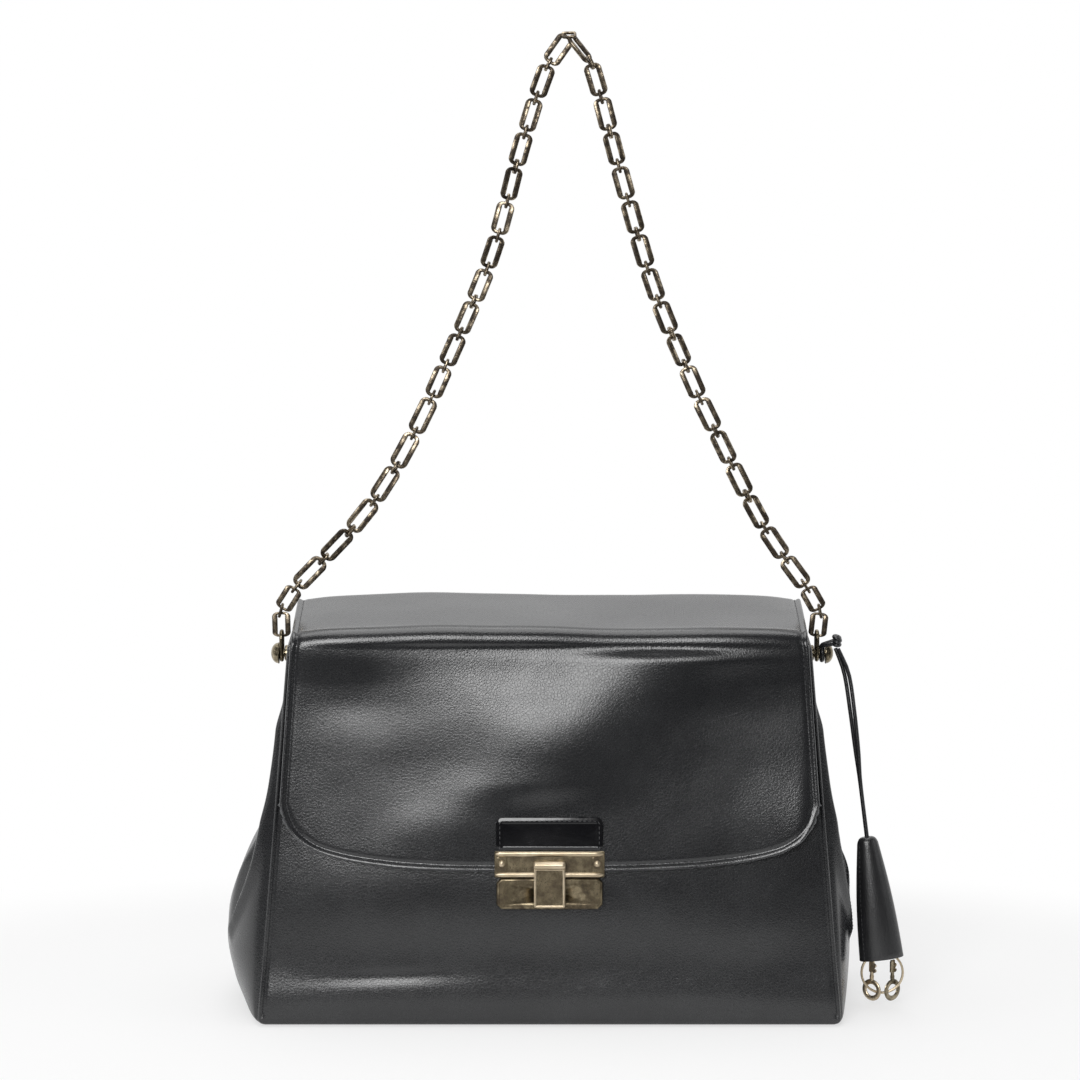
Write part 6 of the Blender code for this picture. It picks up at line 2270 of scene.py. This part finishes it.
def mesh_turned_out(mesh: bpy.types.Mesh) -> bpy.types.Mesh:
    """The same mesh with every closed part's faces pointing out."""
    bm = bmesh.new()
    bm.from_mesh(mesh)
    return mesh_from(bm)


# Key fob


@dataclass
class KeyFob:
    """The doubled lace on the right stud, its knot, the stitched bell over it, the ring and the keys."""

    finishes: Finishes
    needle: Needle
    lace_radius: float = 0.00112
    knot: Vector = field(default_factory=lambda: Vector((0.15996, -0.0062, 0.20495)))
    loop_x: float = 0.15221
    stud_height: float = 0.1970
    bell_top: Vector = field(default_factory=lambda: Vector((0.1772, -0.0150, 0.0965)))
    bell_low: Vector = field(default_factory=lambda: Vector((0.1858, -0.0225, 0.0275)))
    bell_length: float = 0.0690
    top_half: tuple[float, float] = (0.0056, 0.0050)
    low_half: tuple[float, float] = (0.0118, 0.0074)
    bell_wall: float = 0.0012
    bell_slide: float = 0.0300
    ring_middle: Vector = field(default_factory=lambda: Vector((0.1862, -0.0222, 0.0195)))
    ring_radius: float = 0.0115
    ring_wire: float = 0.0008
    key_bow: float = 0.0062
    key_hole: float = 0.0033
    key_thickness: float = 0.0014

    def _route(self) -> list[Vector]:
        """The lace's points: down from the knot, round the ring and back up beside itself."""
        pair = self.lace_radius + 0.00015
        start = self.knot - Vector((0.0, 0.0, 0.0043))
        line = (self.bell_top - self.bell_low).normalized()
        middle = [
            start, Vector((0.1655, -0.0075, 0.1866)), Vector((0.1687, -0.0098, 0.1663)),
            Vector((0.1716, -0.0112, 0.1430)), self.bell_top + line * self.bell_slide, self.bell_top,
            self.bell_top.lerp(self.bell_low, 0.35),
        ]
        radius = 4 * self.lace_radius
        rise = self.ring_radius + radius - self.lace_radius - self.ring_wire - 0.0010
        centre = self.ring_middle + Vector((0.0, 0.0, rise))
        turn = []
        for angle in (0, 45, 90, 135, 180):
            a = math.radians(angle)
            turn.append(centre + Vector((0.0, radius * math.cos(a), -radius * math.sin(a))))
        twist = [math.radians(a) for a in (30.0, 72.0, 66.0, 36.0, 0.0, 0.0, 0.0)]
        apart = [Vector((-math.sin(a), math.cos(a), 0.0)) * pair for a in twist]
        down = [point + away for point, away in zip(middle, apart)]
        up = [point - away for point, away in zip(middle, apart)]
        return [*down, *turn, *reversed(up)]

    def lace(self) -> bpy.types.Object:
        """The leather lace, one free cord from the knot and back to it.

        Returns:
            The piece.
        """
        line = smooth_line(self._route(), 12)
        points = spaced_line(line, round(line_length(line) / (5 * self.lace_radius)))
        curve = bpy.data.curves.new("fob_lace_cord", "CURVE")
        curve.dimensions = "3D"
        curve.bevel_depth = self.lace_radius
        curve.bevel_resolution = 3
        curve.use_fill_caps = True
        spline = curve.splines.new("POLY")
        spline.points.add(len(points) - 1)
        for target, point in zip(spline.points, points):
            target.co = (*point, 1.0)
        spline.use_smooth = True
        curve.materials.append(self.finishes.fob_leather)
        piece = bpy.data.objects.new("fob_lace_cord", curve)
        bpy.context.scene.collection.objects.link(piece)
        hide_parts("fob_lace")
        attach(piece, "fob")
        round(line_length(points), 4)
        return piece

    def knot_piece(self) -> bpy.types.Object:
        """The loop round the stud's neck and the wraps of the knot.

        Returns:
            The piece.
        """
        centre = Vector((self.loop_x, 0.0, self.stud_height))
        reach = 0.0022 + 0.0004 + 0.0014
        angles = [2 * math.pi * i / 40 for i in range(40)]
        loop = [centre + Vector((0.0, reach * math.cos(a), reach * math.sin(a))) for a in angles]
        lean = Vector((0.0, -0.0062, 0.0070)).normalized()
        bight = smooth_line([
            centre + lean * reach, centre + lean * (reach + 0.0028),
            Vector((mix(self.loop_x, self.knot.x, 0.5), 0.0, self.stud_height)) + lean * (reach + 0.0046),
            self.knot - Vector((0.0005, 0.0, 0.0005)),
        ], 8)
        meshes = [
            tube(loop, 0.0013, 12, closed=True, side_hint=Vector((1.0, 0.0, 0.0))),
            tube(bight, lambda s: mix(0.0013, 0.0020, ease(s)), 14),
        ]
        tipped = Matrix.Rotation(math.radians(9), 4, "X")
        wraps = ((0.0019, 0.0026, 14.0), (0.0, 0.0030, -10.0), (-0.0019, 0.0026, 8.0))
        for height, wide, lean_angle in wraps:
            turn = Matrix.Rotation(math.radians(lean_angle), 4, "Y") @ tipped
            ring = []
            for a in angles:
                spot = turn @ Vector((wide * 0.62 * math.cos(a), wide * 0.78 * math.sin(a), 0.0))
                ring.append(self.knot + Vector((0.0, 0.0, height)) + spot)
            meshes.append(tube(ring, 0.00112, 12, closed=True, side_hint=Vector((0.0, 0.0, 1.0))))
        core = [self.knot + Vector((0.0, 0.0, z)) for z in even_steps(-0.0034, 0.0032, 8)]
        meshes.append(tube(core, lambda s: 0.0024 * math.sqrt(max(1 - (2 * s - 1) ** 2 * 0.7, 0.05)), 14))
        piece = new_object("fob_knot_wraps", mesh_turned_out(joined(meshes)), [self.finishes.fob_leather])
        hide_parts("fob_knot")
        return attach(piece, "fob_loop")

    def _bell_size(self, share: float) -> tuple[float, float]:
        """The bell's half width and half depth, by the share of the way up its skirt."""
        bow = math.sin(math.pi * share) * 0.0011
        wide = mix(self.low_half[0], self.top_half[0], share) + bow
        deep = mix(self.low_half[1], self.top_half[1], share) + bow
        return wide, deep

    def bell(self) -> list[bpy.types.Object]:
        """The bell: two halves of leather, closed over the keys, with a ridge and stitches down each side.

        Returns:
            The bell and its stitches.
        """
        turn = Vector((0.0, 0.0, 1.0)).rotation_difference(self.bell_top - self.bell_low).to_matrix()
        shoulder = self.bell_length - 0.0034
        sides = 64
        ridge_in = 0.0014

        def oval(wide: float, deep: float, height: float, ridge: float) -> list[Vector]:
            """One loop of the bell, with the pressed ridges of its two side seams."""
            points = []
            for k in range(sides):
                a = 2 * math.pi * k / sides
                x, y = math.cos(a), math.sin(a)
                flat = abs(x) ** 8
                points.append(self.bell_low + turn @ Vector((
                    (wide + ridge * flat) * x, (deep - ridge * 0.6 * abs(x) ** 4) * y, height,
                )))
            return points

        loops = []
        for share in (0.25, 0.5, 0.75, 1.0):
            a = math.pi * share
            wide, deep = self._bell_size(0.0)
            inset = self.bell_wall / 2 * (1 + math.cos(a))
            height = -self.bell_wall / 2 * math.sin(a) + 0.0006
            loops.append(oval(wide - inset, deep - inset, height, ridge_in * 0.4))
        for share in even_steps(0.0, 1.0, 22)[1:]:
            wide, deep = self._bell_size(share)
            loops.append(oval(wide, deep, shoulder * share, ridge_in * 0.4 * (1 - share * 0.5)))
        wide, deep = self._bell_size(1.0)
        for angle in (25, 45, 62, 78, 90):
            a = math.radians(angle)
            grow = mix(0.42, 1.0, math.cos(a))
            loops.append(oval(wide * grow, deep * grow, shoulder + 0.0034 * math.sin(a), 0.0))
        slot_wide, slot_deep = 0.0014, 0.0027
        loops.append(oval(slot_wide, slot_deep, self.bell_length, 0.0))
        loops.append(oval(slot_wide, slot_deep, self.bell_length - self.bell_wall, 0.0))
        for share in even_steps(1.0, 0.0, 14):
            wide, deep = self._bell_size(share)
            height = (shoulder - 0.001) * share + 0.0006
            loops.append(oval(wide - self.bell_wall, deep - self.bell_wall, height, 0.0))
        piece = new_object("fob_bell_leather", skin_loops(loops, capped=False), [self.finishes.fob_leather])
        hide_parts("fob_bell")
        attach(piece, "bell")
        lines = []
        for side in (-1, 1):
            for face in (-1, 1):
                line = []
                for share in even_steps(0.03, 0.97, 40):
                    wide, deep = self._bell_size(share)
                    a = math.radians(34)
                    across = side * wide * math.cos(a)
                    spot = Vector((across, face * (deep - 0.0002) * math.sin(a), shoulder * share))
                    line.append(self.bell_low + turn @ spot)
                lines.append(line)
        stitches = self.needle.sew("fob_bell_stitches", lines, 0.0026, 0.00042)
        return [piece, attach(stitches, "bell")]

    def ring(self) -> bpy.types.Object:
        """The split key ring: two turns of flat wire side by side.

        Returns:
            The piece.
        """
        meshes = []
        for across, start in ((-0.00040, 0.2), (0.00040, 0.5)):
            line = []
            for k in range(96):
                a = 2 * math.pi * k / 96 + start
                ripple = 0.00010 * math.sin(a)
                spot = Vector((
                    self.ring_radius * math.cos(a), across + ripple, self.ring_radius * math.sin(a),
                ))
                line.append(self.ring_middle + spot)
            meshes.append(tube(
                line, 0.00043, 10, closed=True, flatness=1.5, side_hint=Vector((0.0, 1.0, 0.0)),
            ))
        piece = new_object("split_key_ring", mesh_turned_out(joined(meshes)), [self.finishes.pale_brass])
        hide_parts("key_ring")
        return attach(piece, "fob")

    def key(self, name: str, side: int) -> bpy.types.Object:
        """One small key: a ring bow with a rim, a collared stem and a cut blade.

        Args:
            name: the node that it stands for.
            side: -1 or 1, which side of the ring's foot it hangs from.

        Returns:
            The piece.
        """
        half, bow = self.key_thickness / 2, self.key_bow
        hang = math.radians(30)
        foot = Vector((side * self.ring_radius * math.sin(hang), 0.0, -self.ring_radius * math.cos(hang)))
        turned_in = Matrix.Rotation(side * math.radians(40), 4, "Z")
        place = Matrix.Translation(self.ring_middle + foot) @ turned_in
        middle, wire = (bow + self.key_hole) / 2, (bow - self.key_hole) / 2
        angles = [2 * math.pi * k / 48 for k in range(48)]
        rim = [Vector((middle * math.cos(a), 0.0, middle * math.sin(a))) for a in angles]
        meshes = [tube(rim, wire, 12, closed=True, flatness=half / wire, side_hint=Vector((1.0, 0.0, 0.0)))]
        top = bow + 0.0110
        wide = 0.0019
        meshes.append(tube(
            [Vector((0.0, 0.0, z)) for z in even_steps(bow - 0.0008, top * 0.62, 6)], 0.00105, 12,
            side_hint=Vector((1.0, 0.0, 0.0)),
        ))
        for height in (0.40, 0.46):
            meshes.append(tube(
                [Vector((0.0, 0.0, top * height + z)) for z in even_steps(-0.0003, 0.0003, 2)], 0.0013, 12,
                side_hint=Vector((1.0, 0.0, 0.0)),
            ))
        blade = [
            (-wide * 0.9, top * 0.60), (wide, top * 0.58), (wide * 1.55, top * 0.62),
            (wide * 1.55, top * 0.68), (wide * 0.9, top * 0.71), (wide * 1.1, top * 0.75),
            (wide * 1.5, top * 0.79), (wide * 1.5, top * 0.85), (wide * 0.8, top * 0.90),
            (wide * 0.7, top), (-wide * 0.6, top), (-wide * 0.9, top * 0.94),
        ]
        levels = ((0.00025, -half * 0.75), (0.0, -half * 0.55), (0.0, half * 0.55), (0.00025, half * 0.75))
        centre = Vector((wide * 0.25, top * 0.79))
        loops = []
        for inset, y in levels:
            loops.append([
                Vector((x + (centre.x - x) * inset * 120, y, z + (centre.y - z) * inset * 60))
                for x, z in blade
            ])
        meshes.append(skin_loops(loops))
        mesh = mesh_turned_out(joined(meshes))
        mesh.transform(place)
        finish = self.finishes.pale_brass if side < 0 else self.finishes.brass
        piece = new_object(name + "_cut", mesh, [finish])
        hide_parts(name)
        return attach(piece, "fob")

    def build(self) -> list[bpy.types.Object]:
        """Every piece of the fob.

        Returns:
            The pieces.
        """
        return [
            self.lace(), self.knot_piece(), *self.bell(), self.ring(),
            self.key("key_a", -1), self.key("key_b", 1),
        ]


# The whole bag


def dress_nodes(frame: dict, finishes: Finishes) -> list[bpy.types.Object]:
    """Give the frame's own nodes that stay in sight their finishes.

    Args:
        frame: the loaded frame.
        finishes: the materials.

    Returns:
        The nodes.
    """
    kept = {
        "base_board": finishes.board, "lock_catch": finishes.steel, "lock_backing_plate": finishes.steel,
        "lock_hasp_pin": finishes.steel, "washer_left": finishes.steel, "washer_right": finishes.steel,
    }
    dressed = []
    for name, finish in kept.items():
        node = frame["nodes"][name]
        for place in node.material_slots:
            place.material = finish
        dressed.append(node)
    return dressed


def main() -> None:
    """Build the scene and report each piece."""
    logging.basicConfig(level=logging.INFO, format="%(name)s: %(message)s")
    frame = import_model()
    Studio().build()
    form, finishes = BodyForm(), Finishes()
    needle = Needle(finishes)
    assemblies = {
        "key fob": KeyFob(finishes, needle),
        "body": BagBody(form, finishes),
        "flap": Flap(form, finishes, needle),
        "lock": Lock(form, finishes, needle),
        "studs": Studs(finishes),
        "chain": Chain(finishes),
    }
    for name, assembly in assemblies.items():
        for piece in assembly.build():
            LOG.info("%s: %s, %d faces", name, piece.name, len(getattr(piece.data, "polygons", ())))
    for node in dress_nodes(frame, finishes):
        LOG.info("kept: %s", node.name)


if __name__ == "__main__":
    main()
